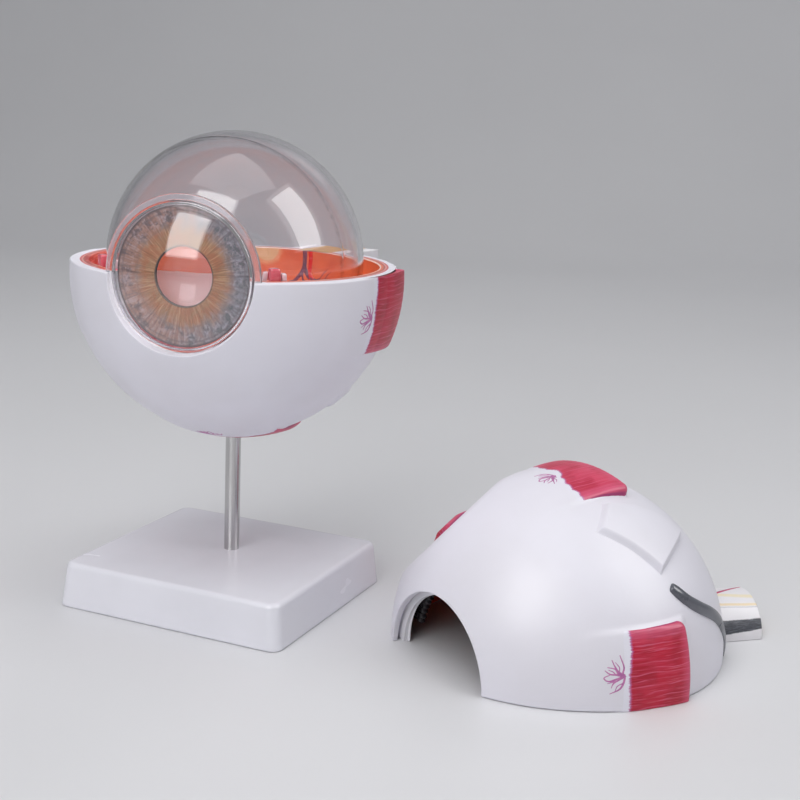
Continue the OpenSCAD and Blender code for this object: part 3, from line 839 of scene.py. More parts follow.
def top_muscle(name, up, node, seed, half, front, back, shift, grow, mat):
    """Stump of the top or the bottom muscle: runs back along the shell, thicker behind."""
    zc = ZC[up]
    x = np.concatenate([np.linspace(-half - 0.8, -half + 3, 22), np.linspace(-half + 3.2, half - 3.2, 100), np.linspace(half - 3, half + 0.8, 22)])
    y = np.concatenate([np.linspace(-front - 5, back - 3.2, 74), np.linspace(back - 3.1, back + 0.8, 26)])
    X, Y = np.meshgrid(x, y)
    g = rnd(seed)
    Z = np.sqrt(73.0 ** 2 - X * X - Y * Y)
    D = np.stack([X, Y, Z], -1) / 73.0

    def outline(px, py):
        """Distance behind the painted front edge, and distance from the stump's sides and rear."""
        if up:
            line = np.interp(px, [-23, -14.5, -8.6, -2.6, 1.0, 4.0, 9.3, 17.2, 22], [-1.2, -3.6, -3.8, -2.6, -4.6, -6.6, -8.2, -9.3, -10.0])
            line = line + 0.35 * np.sin(px * 1.1 + 1.0)
        else:
            line = -front - 0.66 * np.sin(px * 0.31 + 1.0) - 0.48 * np.sin(px * 0.73 + 2.2)
        ex, ey, cr = half - np.abs(px), back - py, 3.0
        ee = np.minimum(ex, ey)
        ee = np.where((ex < cr) & (ey < cr), cr - np.hypot(cr - ex, cr - ey), ee)
        return py - line, ee

    a, e = outline(X, Y)
    uc = shift * D[..., 1]
    R = GLOBE_R + grow
    r_top = uc + np.sqrt(R * R - shift * shift + uc * uc)
    base = outer_height(D, up)
    H = -smin(-(r_top - 72 + 0.25), -(base + 0.22 * smoothstep(a, -3.0, 0.5)), 0.9)
    H = H + fibres(a, X, seed, 0.06) * smoothstep(a, -0.5, 2.5) * smoothstep(e, 0.3, 1.8)
    prof = round_profile(e, 2.4)
    low = base - 0.35
    r = 72 + np.where(e <= 0, low, low + (H - low) * prof)
    fr = smoothstep(a, -4.5, -1.5)
    r = 72 + base - 0.30 + (r - (72 + base - 0.30)) * fr
    c = np.array([0, 0, zc])
    m = np.array([1, 1, 1 if up else -1])
    P, inner = (c + D * r[..., None]) * m, (c + D * 71.3) * m
    bld = Build()
    bld.grid(P).grid(inner)
    bld.grid(np.stack([P[0], inner[0]])).grid(np.stack([P[-1], inner[-1]]))
    bld.grid(np.stack([P[:, 0], inner[:, 0]])).grid(np.stack([P[:, -1], inner[:, -1]]))

    def attr(co):
        q = co * m - c
        q = q / np.linalg.norm(q, axis=1)[:, None] * 73.0
        A, E = outline(q[:, 0], q[:, 1])
        return np.stack([A, q[:, 0], E], -1)

    return bld.make(name, PLACE[up], BODY[up], mat, "muscle_paint", (node,), attr=attr, sharp=60)


LATERAL_EL, LATERAL_AZ = [-6, 6, 19, 31.5, 35], [73.0, 73.0, 70.5, 67.0, 67.0]


def lateral_upper(mat):
    """Muscle on the far side of the upper shell: it runs forward and down into the hollow."""
    zc = ZC[True]
    az = np.linspace(-99.0, -61.5, 110)
    w = np.linspace(0, 45.5, 120)
    AZ, W = np.meshgrid(az, w)
    el = np.degrees(np.arcsin((W - zc) / 73.0))
    D = unit(AZ, el)
    k = 72 * math.pi / 180
    a = (-AZ) * k                        # grows backwards
    ce = np.cos(np.radians(el))
    line = np.interp(el, LATERAL_EL, LATERAL_AZ) * k
    af = (a - line) * ce
    back = (97.5 * k - a) * ce
    top = 43.4 - W
    e = np.minimum(np.minimum(back, top), 99)
    cr = 4.0
    both = (back < cr) & (top < cr)
    e = np.where(both, cr - np.hypot(cr - back, cr - top), e)
    uc = -7.8 * np.cos(np.radians(AZ)) * ce
    r_out = uc + np.sqrt(74.5 ** 2 - 60.84 + uc * uc)
    base = layer_radii(D, True)[0]
    r_top = np.minimum(r_out + 0.25, flat_radius(D, -2.0))
    r_top = np.maximum(r_top, base + 0.25)
    r_top = r_top + fibres(a, W, 31, 0.06) * smoothstep(e, 0.3, 1.8)
    low = base - 0.35
    r = low + (r_top - low) * round_profile(e, 2.6)
    r = np.where(e <= 0, low, r)
    r = low + (r - low) * smoothstep(af, -0.9, 0.9)
    c = np.array([0, 0, zc])
    P = c + D * r[..., None]
    P[0, :, 2] = 0
    rin = np.minimum(70.6, base - 1.0)
    inner = c + D * rin[..., None]
    inner[0, :, 2] = 0
    bld = Build()
    bld.grid(P).grid(inner)
    bld.grid(np.stack([P[0], inner[0]])).grid(np.stack([P[-1], inner[-1]]))
    bld.grid(np.stack([P[:, 0], inner[:, 0]])).grid(np.stack([P[:, -1], inner[:, -1]]))

    def attr(co):
        q = co - c
        rr = np.linalg.norm(q, axis=1)
        A = -np.degrees(np.arctan2(q[:, 0], -q[:, 1])) * k
        ee = np.degrees(np.arcsin(np.clip(q[:, 2] / rr, -1, 1)))
        Wq = q[:, 2] * 73.0 / rr + zc
        ln = np.interp(ee, LATERAL_EL, LATERAL_AZ) * k
        cc = np.cos(np.radians(ee))
        Af = (A - ln) * cc
        E = np.minimum((97.5 * k - A) * cc, 43.4 - Wq)
        return np.stack([Af + 1.6, Wq, E], -1)

    return bld.make("lateral_rectus_stump_upper", UPPER, "lid", mat, "muscle_paint", ("lateral_rectus_upper",), attr=attr, sharp=60)


# --- thin painted strokes --------------------------------------------------------
def spline(pts, n):
    p = np.asarray(pts, float)
    if len(p) == 2:
        return p[0] + (p[1] - p[0]) * np.linspace(0, 1, n)[:, None]
    p = np.concatenate([[2 * p[0] - p[1]], p, [2 * p[-1] - p[-2]]])
    out = []
    seg = len(p) - 3
    for t in np.linspace(0, seg - 1e-6, n):
        i = int(t)
        u = t - i
        a, b, c, d = p[i:i + 4]
        out.append(0.5 * ((2 * b) + (c - a) * u + (2 * a - 5 * b + 4 * c - d) * u * u + (3 * b - a - 3 * c + d) * u ** 3))
    return np.array(out)


def stroke(bld, path2d, widths, lift, to3d, n=None):
    """Lens-shaped ribbon along a 2-D path; to3d maps (u, v, height) to a point."""
    n = n or max(10, int(np.linalg.norm(np.diff(np.asarray(path2d), axis=0), axis=1).sum() / 0.28))
    p = spline(path2d, n)
    w = np.interp(np.linspace(0, 1, n), np.linspace(0, 1, len(widths)), widths)
    d = np.gradient(p, axis=0)
    d = d / np.maximum(1e-9, np.linalg.norm(d, axis=1))[:, None]
    nrm = np.stack([-d[:, 1], d[:, 0]], -1)
    rows = []
    for s, h in ((-1, -0.25), (-0.7, 0.75), (0, 1.0), (0.7, 0.75), (1, -0.25), (0, -0.9)):
        q = p + nrm * (w * 0.5 * s)[:, None]
        hh = np.full(n, lift * h) if h > 0 else np.full(n, h * 0.2)
        rows.append(to3d(q[:, 0], q[:, 1], hh))
    G = np.stack(rows)                 # [6, n, 3]
    G2 = np.concatenate([G, G[:1]])
    bld.grid(G2)
    for k in (0, -1):
        bld.ngon(G[:, k])


FAN = [
    ([(-0.4, 0), (1.4, 0.05), (3.0, 0.0), (4.6, -0.1)], (0.42, 0.40, 0.36, 0.34)),
    ([(0.9, 0.2), (-0.1, 1.4), (0.3, 4.3), (-1.6, 9.4)], (0.5, 0.62, 0.5, 0.22)),
    ([(0.7, 0.4), (-1.6, 2.2), (-3.8, 4.4), (-5.2, 7.2)], (0.5, 0.55, 0.42, 0.2)),
    ([(0.2, 0.3), (-2.2, 1.4), (-3.8, 3.7), (-7.4, 4.5)], (0.55, 0.5, 0.4, 0.2)),
    ([(0.3, 0.1), (-3.0, 0.6), (-6.2, 1.0), (-8.4, 2.7)], (0.55, 0.5, 0.42, 0.22)),
    ([(0.3, -0.1), (-3.6, -1.2), (-6.6, -2.0), (-8.6, -0.4), (-5.6, 1.0)], (0.5, 0.5, 0.42, 0.34, 0.2)),
    ([(0.5, -0.3), (-2.0, -1.6), (-4.2, -3.0), (-5.4, -5.2)], (0.52, 0.5, 0.38, 0.2)),
    ([(0.8, -0.3), (0.2, -3.2), (-1.6, -5.9), (-5.9, -7.6)], (0.6, 0.6, 0.46, 0.22)),
    ([(-1.6, 2.2), (-1.9, 4.4), (-3.6, 6.6)], (0.34, 0.32, 0.16)),
    ([(-3.0, 0.6), (-4.6, 2.2), (-6.6, 3.0)], (0.34, 0.32, 0.16)),
    ([(-2.0, -1.6), (-4.6, -2.4), (-7.2, -3.4)], (0.34, 0.32, 0.16)),
    ([(0.0, -2.8), (-2.4, -4.2), (-3.4, -6.4)], (0.34, 0.32, 0.16)),
]


def fan(bld, to3d, scale=1.0, flip=1, squeeze=1.0, seed=0):
    g = rnd(seed)
    for path, wid in FAN:
        p = [(x * scale * squeeze + g.randn() * 0.12, y * scale * flip + g.randn() * 0.12) for x, y in path]
        stroke(bld, p, [w * 1.55 * (0.9 + 0.25 * g.rand()) for w in wid], 0.10, to3d)


def on_globe(up, side, az0, w0):
    """Maps local (u along backwards, v up) at a side of the globe to 3-D."""
    zc = ZC[up]
    m = np.array([1, 1, 1 if up else -1])

    def f(u, v, h):
        az = az0 + np.degrees(u / 72 / max(0.5, math.cos(math.asin((w0 - zc) / 72))))
        w = w0 + v
        el = np.degrees(np.arcsin(np.clip((w - zc) / 72, -1, 1)))
        D = unit(az * side, el)
        r = 72 + outer_height(D, up) + h
        return (np.array([0, 0, zc]) + D * r[:, None]) * m
    return f


def on_crown(up, x0, y0):
    """Maps local (u backwards along y, v along x) at the top (or bottom) of the globe to 3-D."""
    zc = ZC[up]
    m = np.array([1, 1, 1 if up else -1])

    def f(u, v, h):
        x, y = x0 + v, y0 + u
        D = np.stack([x, y, np.sqrt(np.maximum(72 ** 2 - x * x - y * y, 1))], -1) / 72
        r = 72 + outer_height(D, up) + h
        return (np.array([0, 0, zc]) + D * r[:, None]) * m
    return f


def in_bowl(up):
    """Maps (azimuth mm, height mm below the cut) on the retina to 3-D."""
    zc = ZC[up]
    m = np.array([1, 1, 1 if up else -1])

    def f(u, v, h):
        az = u / 64.4 * 180 / math.pi
        el = np.degrees(np.arcsin(np.clip((v - zc) / 64.4, -0.999, 0.999)))
        D = unit(az, el)
        r = layer_radii(D, up)[3] - h
        return (np.array([0, 0, zc]) + D * r[:, None]) * m
    return f


# =========================================================================
# build: materials
# =========================================================================
M_SCLERA = plastic_white("sclera_white", (0.80, 0.785, 0.860), 0.45)
M_PAD = plastic_white("pad_white", (0.81, 0.795, 0.870), 0.45)
M_BASE = plastic_white("stand_white", (0.85, 0.845, 0.91), 0.26, 0.6, 0.0)
M_RETINA = {True: retina_material(True), False: retina_material(False)}
M_CHOROID = choroid_material()
M_MUSCLE = muscle_material("muscle_crimson")
# top muscle: a lighter, pinker copy of the crimson, painted light where it faces the lamps above
M_MUSCLE_TOP = muscle_material("muscle_crimson_painted_light", (0.66, 0.065, 0.135), (0.50, 0.028, 0.070), 3.4)
M_NERVE = nerve_material()
M_GOLD = painted("nerve_gold", (0.80, 0.46, 0.11), (0.72, 0.33, 0.08), 0.3, 120.0, 0.3)
M_VEIN = painted("vein_slate", (0.085, 0.090, 0.110), (0.115, 0.120, 0.145), 0.28, 90.0, 0.3)
M_CILIARY = painted("ciliary_pink", (0.62, 0.045, 0.085), (0.74, 0.16, 0.20), 0.14, 200.0, 0.8)
# upper half of the ciliary ring: the pink ring painted near black, painted shade for the unlit inside of the lid
M_CILIARY_SHADE = painted("ciliary_painted_shade", (0.028, 0.024, 0.030), (0.050, 0.040, 0.048), 0.25, 200.0, 0.4)
# small lumps beside the ciliary end blocks, whose pale pink colour is a painted highlight on glossy red
M_BEAD = painted("ciliary_bead_painted_highlight", (0.80, 0.52, 0.58), (0.86, 0.72, 0.76), 0.12, 300.0, 0.8)
M_IRIS = iris_material()
M_BALL = clear_material("vitreous_clear_plastic", (0.955, 0.940, 0.962), 0.010, gloss=0.75)
# frosted, pink-tinted flat behind the lens: painted reflection for the lower half of the pupil
M_STUD = clear_material("vitreous_stud_painted_reflection", (0.95, 0.86, 0.88), 0.30, 1.49, 0.01, 0.55)
M_LENS = clear_material("lens_clear_plastic", (0.98, 0.975, 0.985), 0.006)
M_CORNEA = clear_material("cornea_clear_plastic", (0.965, 0.952, 0.968), 0.008, gloss=0.8)
M_CORNEA_EDGE = clear_material("cornea_edge_satin", (0.86, 0.82, 0.88), 0.20, 1.49, 0.01, 0.80)
M_ROD = steel_material("rod_polished", 2, 0.17)
Nodes.built = False
M_SCREW = steel_material("screw_zinc", 0, 0.34, (0.50, 0.50, 0.49))
M_SOCKET = painted("socket_orange", (0.78, 0.17, 0.05), (0.68, 0.12, 0.04), 0.35, 60.0, 0.2)
Nodes.built = True
M_VESSEL = painted("vessel_purple", (0.56, 0.20, 0.42), (0.40, 0.11, 0.32), 0.35, 500.0, 0.1)
M_ARTERY = painted("artery_red", (0.72, 0.015, 0.012), (0.60, 0.010, 0.010), 0.25, 300.0, 0.4)
M_VEINLET = painted("retinal_vein", (0.13, 0.045, 0.085), (0.19, 0.07, 0.10), 0.25, 300.0, 0.4)

# =========================================================================
# shells
# =========================================================================
for up in (True, False):
    tag = "upper" if up else "lower"
    hole = 0.0 if up else 3.8
    shell("sclera_shell_" + tag, up, 0, 0.7, 0.0, 112, 26, M_SCLERA, "sclera_plastic", tag + "_sclera", hole)
    shell("choroid_layer_" + tag, up, 1, 0.0, 0.0, 26, 26, M_CHOROID, "choroid_paint", tag + "_choroid", hole, 1.6)
    shell("retina_layer_" + tag, up, 2, 0.0, 0.35, 26, 84, M_RETINA[up], "retina_paint", tag + "_retina", hole, 1.3)

side_muscle("medial_rectus_stump_upper", True, 1, "medial_rectus_upper", 3, 72.8, 96.2, 31.5, M_MUSCLE, 0.008)
side_muscle("medial_rectus_stump_lower", False, 1, "medial_rectus_lower", 5, 74.5, 101.0, 34.5, M_MUSCLE)
side_muscle("lateral_rectus_stump_lower", False, -1, "lateral_rectus_lower", 7, 74.5, 101.0, 34.5, M_MUSCLE, 0.035, 1.4)
lateral_upper(M_MUSCLE)
top_muscle("superior_rectus_stump", True, "superior_rectus", 11, 22.6, 10.4, 15.6, 12.4, 2.9, M_MUSCLE_TOP)
top_muscle("inferior_rectus_stump", False, "inferior_rectus", 13, 27.6, 17.6, 17.6, 10.0, 2.6, M_MUSCLE)

# vessel sprays in front of the muscles
for nm, up, to3d, fl, sc, bod in (
        ("vessel_spray_medial_upper", True, on_globe(True, 1, 70.6, 14.2), 1, 0.86, "lid"),
        ("vessel_spray_medial_lower", False, on_globe(False, 1, 72.8, 17.2), -1, 0.84, "globe"),
        ("vessel_spray_lateral_lower", False, on_globe(False, -1, 72.8, 17.2), -1, 0.84, "globe"),
        ("vessel_spray_superior", True, on_crown(True, 0.2, -7.4), 1, 0.84, "lid"),
        ("vessel_spray_inferior", False, on_crown(False, -2.0, -20.8), -1, 0.80, "globe")):
    bld = Build()
    fan(bld, to3d, sc, fl, 1.0, len(nm))
    bld.make(nm, PLACE[up], bod, M_VESSEL, "muscle_paint", merge=0.001, sharp=80)


# --- raised pad of the superior oblique, and the small one below ---------------
def in_poly(px, py, poly):
    """Signed distance to a polygon, positive inside."""
    poly = np.asarray(poly, float)
    best = np.full(px.shape, 1e9)
    inside = np.zeros(px.shape, bool)
    for i in range(len(poly)):
        a, b = poly[i - 1], poly[i]
        e = b - a
        t = np.clip(((px - a[0]) * e[0] + (py - a[1]) * e[1]) / (e @ e), 0, 1)
        d = np.hypot(px - a[0] - t * e[0], py - a[1] - t * e[1])
        best = np.minimum(best, d)
        cond = ((a[1] > py) != (b[1] > py)) & (px < (b[0] - a[0]) * (py - a[1]) / (b[1] - a[1] + 1e-12) + a[0])
        inside ^= cond
    return np.where(inside, best, -best)


def pad(name, up, c_az, c_el, outline, height, w_edge, node, mat, ext, corner=1.4):
    zc = ZC[up]
    c3 = np.array([0, 0, zc])
    az, el = math.radians(c_az), math.radians(c_el)
    n0 = np.array([math.sin(az) * math.cos(el), -math.cos(az) * math.cos(el), math.sin(el)])
    tu = np.array([math.cos(az), math.sin(az), 0])
    tv = np.array([-math.sin(el) * math.sin(az), math.sin(el) * math.cos(az), math.cos(el)])
    pl = np.array([[unit(np.array(float(a)), np.array(float(b))) @ tu, unit(np.array(float(a)), np.array(float(b))) @ tv] for a, b in outline]) * 72
    lo, hi = pl.min(0) - ext, pl.max(0) + ext
    U, V = np.meshgrid(np.linspace(lo[0], hi[0], 190), np.linspace(lo[1], hi[1], 190))
    D = (U[..., None] * tu + V[..., None] * tv + np.sqrt(np.maximum(1, 72.0 ** 2 - U * U - V * V))[..., None] * n0)
    D = D / np.linalg.norm(D, axis=-1)[..., None]
    e = in_poly(U, V, pl)
    e = e - 0.0
    h = height(U, V, D)
    s = smoothstep(e, -0.3, w_edge)
    base = layer_radii(D, up)[0]
    r = base - 0.32 + (h + 0.32) * s
    m = np.array([1, 1, 1 if up else -1])
    P, inner = (c3 + D * r[..., None]) * m, (c3 + D * 70.4) * m
    bld = Build()
    bld.grid(P).grid(inner)
    bld.grid(np.stack([P[0], inner[0]])).grid(np.stack([P[-1], inner[-1]]))
    bld.grid(np.stack([P[:, 0], inner[:, 0]])).grid(np.stack([P[:, -1], inner[:, -1]]))
    return bld.make(name, PLACE[up], BODY[up], mat, "sclera_plastic", (node,), sharp=60), pl


def pad_height(U, V, D):
    # highest along the lower left edge, fading to nothing towards the back and the top
    el = np.degrees(np.arcsin(D[..., 2]))
    az = np.degrees(np.arctan2(D[..., 0], -D[..., 1]))
    fade = 1 - smoothstep(V * 0.55 + U * 0.55, 6.0, 22.0)
    return 0.35 + 2.15 * fade


pad("superior_oblique_pad", True, 98, 56,
    [[84.1, 69], [67.3, 56.2], [83.3, 48.8], [94, 38.2], [129.5, 45.7], [134, 53], [112, 65.5]],
    pad_height, 2.9, "superior_oblique", M_PAD, 1.0)
pad("inferior_oblique_pad", False, 92, 47,
    [[80, 42], [103, 41], [107, 50], [82, 51]], lambda U, V, D: 0.85 + 0 * U, 2.6, "inferior_oblique", M_PAD, 1.0)


# --- slate vessel on the upper shell ---------------------------------------------
def vein():
    pts = [(97.0, 33.9), (103.0, 28.6), (109.4, 24.6), (115.9, 21.2), (121.6, 17.6), (126.4, 13.2), (131.2, 8.4), (135.6, 3.0), (139.0, -1.95)]
    p = spline(pts, 90)
    D = unit(p[:, 0], p[:, 1])
    c = np.array([0, 0, 2.4])
    base = 72 + outer_height(D, True)
    path = c + D * base[:, None]
    tang = np.gradient(path, axis=0)
    tang /= np.linalg.norm(tang, axis=1)[:, None]
    side = np.cross(tang, D)
    side /= np.linalg.norm(side, axis=1)[:, None]
    n = len(p)
    t = np.linspace(0, 1, n)
    wid = np.interp(t, [0, 0.03, 0.2, 0.55, 0.8, 1], [2.1, 2.5, 2.7, 2.75, 2.5, 2.4])
    hgt = np.interp(t, [0, 0.05, 0.3, 0.55, 0.7, 1], [1.6, 2.0, 2.0, 1.6, 1.0, 1.0])
    ang = np.linspace(0, 2 * math.pi, 36, endpoint=False)
    G = path[:, None] + side[:, None] * (wid[:, None] * np.cos(ang))[..., None] + D[:, None] * (hgt[:, None] * np.sin(ang))[..., None]
    # cut start: a few shrinking rings give a bevelled end
    rings = []
    for k, (s, back) in enumerate(((0.05, 0.75), (0.55, 0.70), (0.82, 0.5), (0.95, 0.22))):
        rings.append(path[0] - tang[0] * back + side[0] * (wid[0] * s * np.cos(ang))[:, None] + D[0] * (hgt[0] * s * np.sin(ang))[:, None])
    G = np.concatenate([np.array(rings), G])
    G[..., 2] = np.maximum(G[..., 2], 0)
    b = Build().grid(G, True)
    b.ngon(G[0]).ngon(G[-1])
    return b.make("vortex_vein_tube", UPPER, "lid", M_VEIN, "vein_paint", ("vortex_vein",), sharp=50)


vein()


# --- optic nerve -------------------------------------------------------------------
NERVE_AZ = 162.8


def nerve(up):
    """Half of the sheath: outer tube, flat cut faces, end ring; and the golden core inside it."""
    tag = "upper" if up else "lower"
    zc = ZC[up]
    a = math.radians(NERVE_AZ)
    ax = np.array([math.sin(a), -math.cos(a), 0])
    tv = np.array([math.cos(a), math.sin(a), 0])
    m = np.array([1, 1, 1 if up else -1])
    R, Rc, end = 17.2, 9.5, 93.0
    th = np.concatenate([[0, 0.4, 1.0], np.linspace(2, 178, 70), [179, 179.6, 180]]) * math.pi / 180
    x = np.cos(th)
    z = np.sin(th)

    def start(r):
        """Distance along the axis at which a tube of radius r leaves the globe's surface."""
        return np.sqrt(np.maximum(71.4 ** 2 - (r * x) ** 2 - (r * z - zc) ** 2, 0))

    s0 = start(R)
    rows = []
    prof = rounded([(0.0, 0), (1.0, 0)], [0, 0])
    for t in np.linspace(0, 1, 22):
        d = s0 + (end - 0.7 - s0) * t
        # the sheath flares softly where it meets the globe
        fl = 1.0 * np.exp(-((d - s0) / 2.2))
        rows.append(ax * d[:, None] + tv * ((R + fl) * x)[:, None] + np.array([0, 0, 1]) * ((R + fl) * z)[:, None])
    for k in (0.25, 0.6, 1.0):
        q = 0.7
        rr = R - q * (1 - math.cos(k * math.pi / 2))
        dd = end - q + q * math.sin(k * math.pi / 2)
        rows.append(ax * dd + tv * (rr * x)[:, None] + np.array([0, 0, 1]) * (rr * z)[:, None])
    rows.append(ax * end + tv * (Rc * x)[:, None] + np.array([0, 0, 1]) * (Rc * z)[:, None])
    sc = start(Rc)
    rows.append(ax * sc[:, None] + tv * (Rc * x)[:, None] + np.array([0, 0, 1]) * (Rc * z)[:, None])
    G = np.array(rows)
    G[..., 2] = np.maximum(G[..., 2], 0)
    b = Build()
    b.grid(G * m)
    b.grid(np.stack([G[0], G[-1]]) * m)
    for j in (0, -1):
        b.ngon(G[:, j] * m)

    def attr(co):
        q = co * m
        al = q @ ax - 72
        ang = np.arctan2(q[:, 2], -(q @ tv))
        rr = np.hypot(q @ tv, q[:, 2])
        return np.stack([al, ang * R, rr], -1)

    b.make("optic_nerve_sheath_" + tag, PLACE[up], BODY[up], M_NERVE, "nerve_plastic", ("optic_nerve_" + tag,), attr=attr, sharp=40)

    # core: slightly domed end, its cut face a hair proud of the shells' rims
    s1 = np.sqrt(np.maximum(64.2 ** 2 - (Rc * x) ** 2 - (Rc * z - zc) ** 2, 0))
    rows = [ax * (s1[:, None] + 0 * ax) + tv * (0 * x)[:, None]]
    up_v = np.array([0, 0, 1])
    rows = []
    for k in (0.02, 0.35, 0.7, 1.0):
        s = np.sqrt(np.maximum(64.55 ** 2 - (Rc * k * x) ** 2 - (Rc * k * z - zc) ** 2, 0))
        rows.append(ax * s[:, None] + tv * (Rc * k * x)[:, None] + up_v * (Rc * k * z)[:, None])
    for d in (70.0, 78.0, 86.0, end - 0.1):
        rows.append(ax * d + tv * (Rc * x)[:, None] * 0.997 + up_v * (Rc * z)[:, None] * 0.997)
    for k, dd in ((0.93, 0.16), (0.7, 0.02), (0.35, -0.25), (0.02, -0.4)):
        rows.append(ax * (end + dd - 0.1) + tv * (Rc * k * x)[:, None] + up_v * (Rc * k * z)[:, None])
    G = np.array(rows)
    G[..., 2] = np.where(G[..., 2] < 0.02, -0.04 if not up else 0.0, G[..., 2])
    b = Build()
    b.grid(G * m)
    for j in (0, -1):
        pass
    b.grid(np.stack([G[:, 0], G[:, -1]]) * m)
    b.ngon(G[0] * m).ngon(G[-1] * m)
    b.make("optic_nerve_core_" + tag, PLACE[up], BODY[up], M_GOLD, "nerve_paint", ("nerve_core_" + tag,), sharp=40)


nerve(True)
nerve(False)


# --- ciliary ring --------------------------------------------------------------------
def ciliary(up):
    """Half ring with radial folds, its ends rounded at the cut plane."""
    tag = "upper" if up else "lower"
    zc = ZC[up]
    m = np.array([1, 1, 1 if up else -1])
    nphi = 520
    start = 8.8 if up else 1.0          # the upper half starts above the lower half's end blocks
    phi = np.linspace(math.radians(start), math.radians(180.0 - start), nphi)
    K = 20
    rows = []
    end = np.minimum(phi - phi[0], phi[-1] - phi) * 38.0          # mm from the nearest end
    full = np.sqrt(np.clip(1 - (1 - np.clip(end / 2.2, 0, 1)) ** 2, 0, 1))
    full = 0.25 + 0.75 * full
    fold = 0.5 + 0.5 * np.cos(phi * 72)
    fold = fold ** 0.7
    loop = np.linspace(0, 2 * math.pi, K, endpoint=False)
    for t in loop:
        # section: between the ball and the retina, 44.6 to 51.4 along the axis
        d = 48.0 + 3.4 * np.sign(math.sin(t)) * abs(math.sin(t)) ** 0.7
        u = math.copysign(abs(math.cos(t)) ** 0.7, math.cos(t))
        cz = zc * np.sin(phi)
        ro = cz + np.sqrt(np.maximum(64.3 ** 2 - d * d - (zc * np.cos(phi)) ** 2, 1))
        bz = 0.6 * np.sin(phi) * (1 if up else -1)
        ri = np.maximum(bz + np.sqrt(np.maximum(57.3 ** 2 - d * d - (0.6 * np.cos(phi)) ** 2, 1)), 31.1)
        mid, half = (ro + ri) / 2, (ro - ri) / 2
        amp = 1.15 * fold * (1 if u < 0.3 else 0.15)
        rho = mid + u * half * full
        rho = rho + np.where(u < 0.3, (1 - fold) * 1.3 * (0.3 - u) / 1.3, 0)
        dd = 48.0 + (d - 48.0) * full * (1 - 0.10 * (1 - fold) * (1 if math.sin(t) > 0 else 0))
        w = rho * np.sin(phi)
        w = np.maximum(w, 0.05)
        rows.append(np.stack([rho * np.cos(phi), -dd, w], -1))
    G = np.array(rows) * m
    b = Build()
    b.grid(np.concatenate([G, G[:1]]))
    b.ngon(G[:, 0]).ngon(G[:, -1])
    # the upper half is painted near black as painted shade, the lower half pink
    b.make("ciliary_folds_" + tag, PLACE[up], BODY[up], M_CILIARY_SHADE if up else M_CILIARY, "ciliary_paint", (tag + "_ciliary_ring",), sharp=70)


def lump(bld, az, r, z, half_t, half_r, half_z, power=0.34, lean=0.0):
    """Rounded block about (azimuth, radius, height) with its sides along and across the radius."""
    t = np.linspace(-math.pi / 2, math.pi / 2, 34)
    p = np.linspace(0, 2 * math.pi, 56, endpoint=False)
    T, P = np.meshgrid(t, p, indexing="ij")

    def f(v, q):
        return np.sign(v) * np.abs(v) ** q
    u = f(np.cos(T), power) * f(np.cos(P), power) * half_t
    v = f(np.cos(T), power) * f(np.sin(P), power) * half_r
    w = f(np.sin(T), power) * half_z
    a = math.radians(az)
    e_r = np.array([math.sin(a), -math.cos(a), 0])
    e_t = np.array([math.cos(a), math.sin(a), 0])
    u = u * (1 - 0.10 * (w / half_z + 1) / 2) + lean * (w + half_z)
    bld.grid(e_r * (r + v)[..., None] + e_t * u[..., None] + np.array([0, 0, 1]) * (z + w)[..., None], True)
    return bld


ciliary(True)
ciliary(False)
blk = Build()
lump(blk, 35.2, 60.6, 1.9, 2.35, 2.5, 2.85)
lump(blk, -43.0, 62.3, 1.9, 2.3, 1.8, 2.85)
blk.make("ciliary_end_blocks", LOWER, "globe", M_CILIARY, "ciliary_paint", merge=0.001, sharp=75)
# small lumps beside the blocks, pale pink as a painted highlight
blk = Build()
lump(blk, 31.6, 58.9, 1.1, 1.15, 1.1, 2.1, 0.5, 0.12)
lump(blk, 38.9, 61.4, 0.9, 1.1, 1.6, 1.9, 0.5, -0.08)
lump(blk, -37.8, 59.4, 1.0, 1.1, 1.4, 2.0, 0.5, 0.1)
lump(blk, -44.9, 63.0, 0.5, 0.8, 0.6, 1.5, 0.5, 0.0)
blk.make("ciliary_end_beads", LOWER, "globe", M_BEAD, "ciliary_paint", merge=0.001, sharp=75)

# =========================================================================
# clear parts, lens and iris
# =========================================================================
BALL_R, BALL_T, BALL_Z, SPLIT = 56.9, 2.4, 0.6, 16.0
RI = BALL_R - BALL_T


def ball_front():
    """Front shell of the ball: outside sphere, dent for the lens, boss behind it, welded seam edge."""
    t0 = math.acos(SPLIT / BALL_R)
    ang = np.concatenate([np.linspace(t0, t0 - 0.03, 14), np.linspace(t0 - 0.035, math.asin(20.6 / BALL_R), 116)])
    ridge = 1 + 0.0008 * np.exp(-((ang - t0) / 0.010) ** 2)
    outer = np.stack([BALL_R * np.sin(ang) * ridge, BALL_R * np.cos(ang)], -1)
    lipc = rounded([(20.6, math.sqrt(BALL_R ** 2 - 20.6 ** 2)), (19.3, 53.52), (19.3, 52.6), (18.6, 51.4)], [0, 0.9, 0.2, 0], 6)
    dent = arc_pts(80.9, 34.3, 18.6, 0.0, 50, -1)
    inside = np.array([(0.0, 43.5), (8.0, 43.5), (16.0, 43.5), (21.4, 43.5)])
    boss = rounded([(21.4, 43.5), (23.0, 43.5), (23.0, 49.3), (24.6, math.sqrt(RI ** 2 - 24.6 ** 2))], [0, 1.2, 1.0, 0], 6)
    inn = arc_pts(0, RI, 24.6, math.sqrt(RI ** 2 - SPLIT ** 2), 110)
    inn = inn[np.argsort(inn[:, 0])]
    pr = np.concatenate([outer, lipc[1:-1], dent, inside, boss[1:-1], inn])
    G = lathe(pr, 220, closed=True)
    # the ball's middle lies a little above the lens's axis: shift what is far from the dent
    rho = np.hypot(G[..., 0], G[..., 2])
    G[..., 2] += BALL_Z * smoothstep(rho, 26.0, 36.0)
    b = Build().grid(G, True)
    return b.make("vitreous_front_shell", LOWER, "vitreous", M_BALL, "vitreous_clear", ("vitreous_front",), sharp=50, merge=0.004)


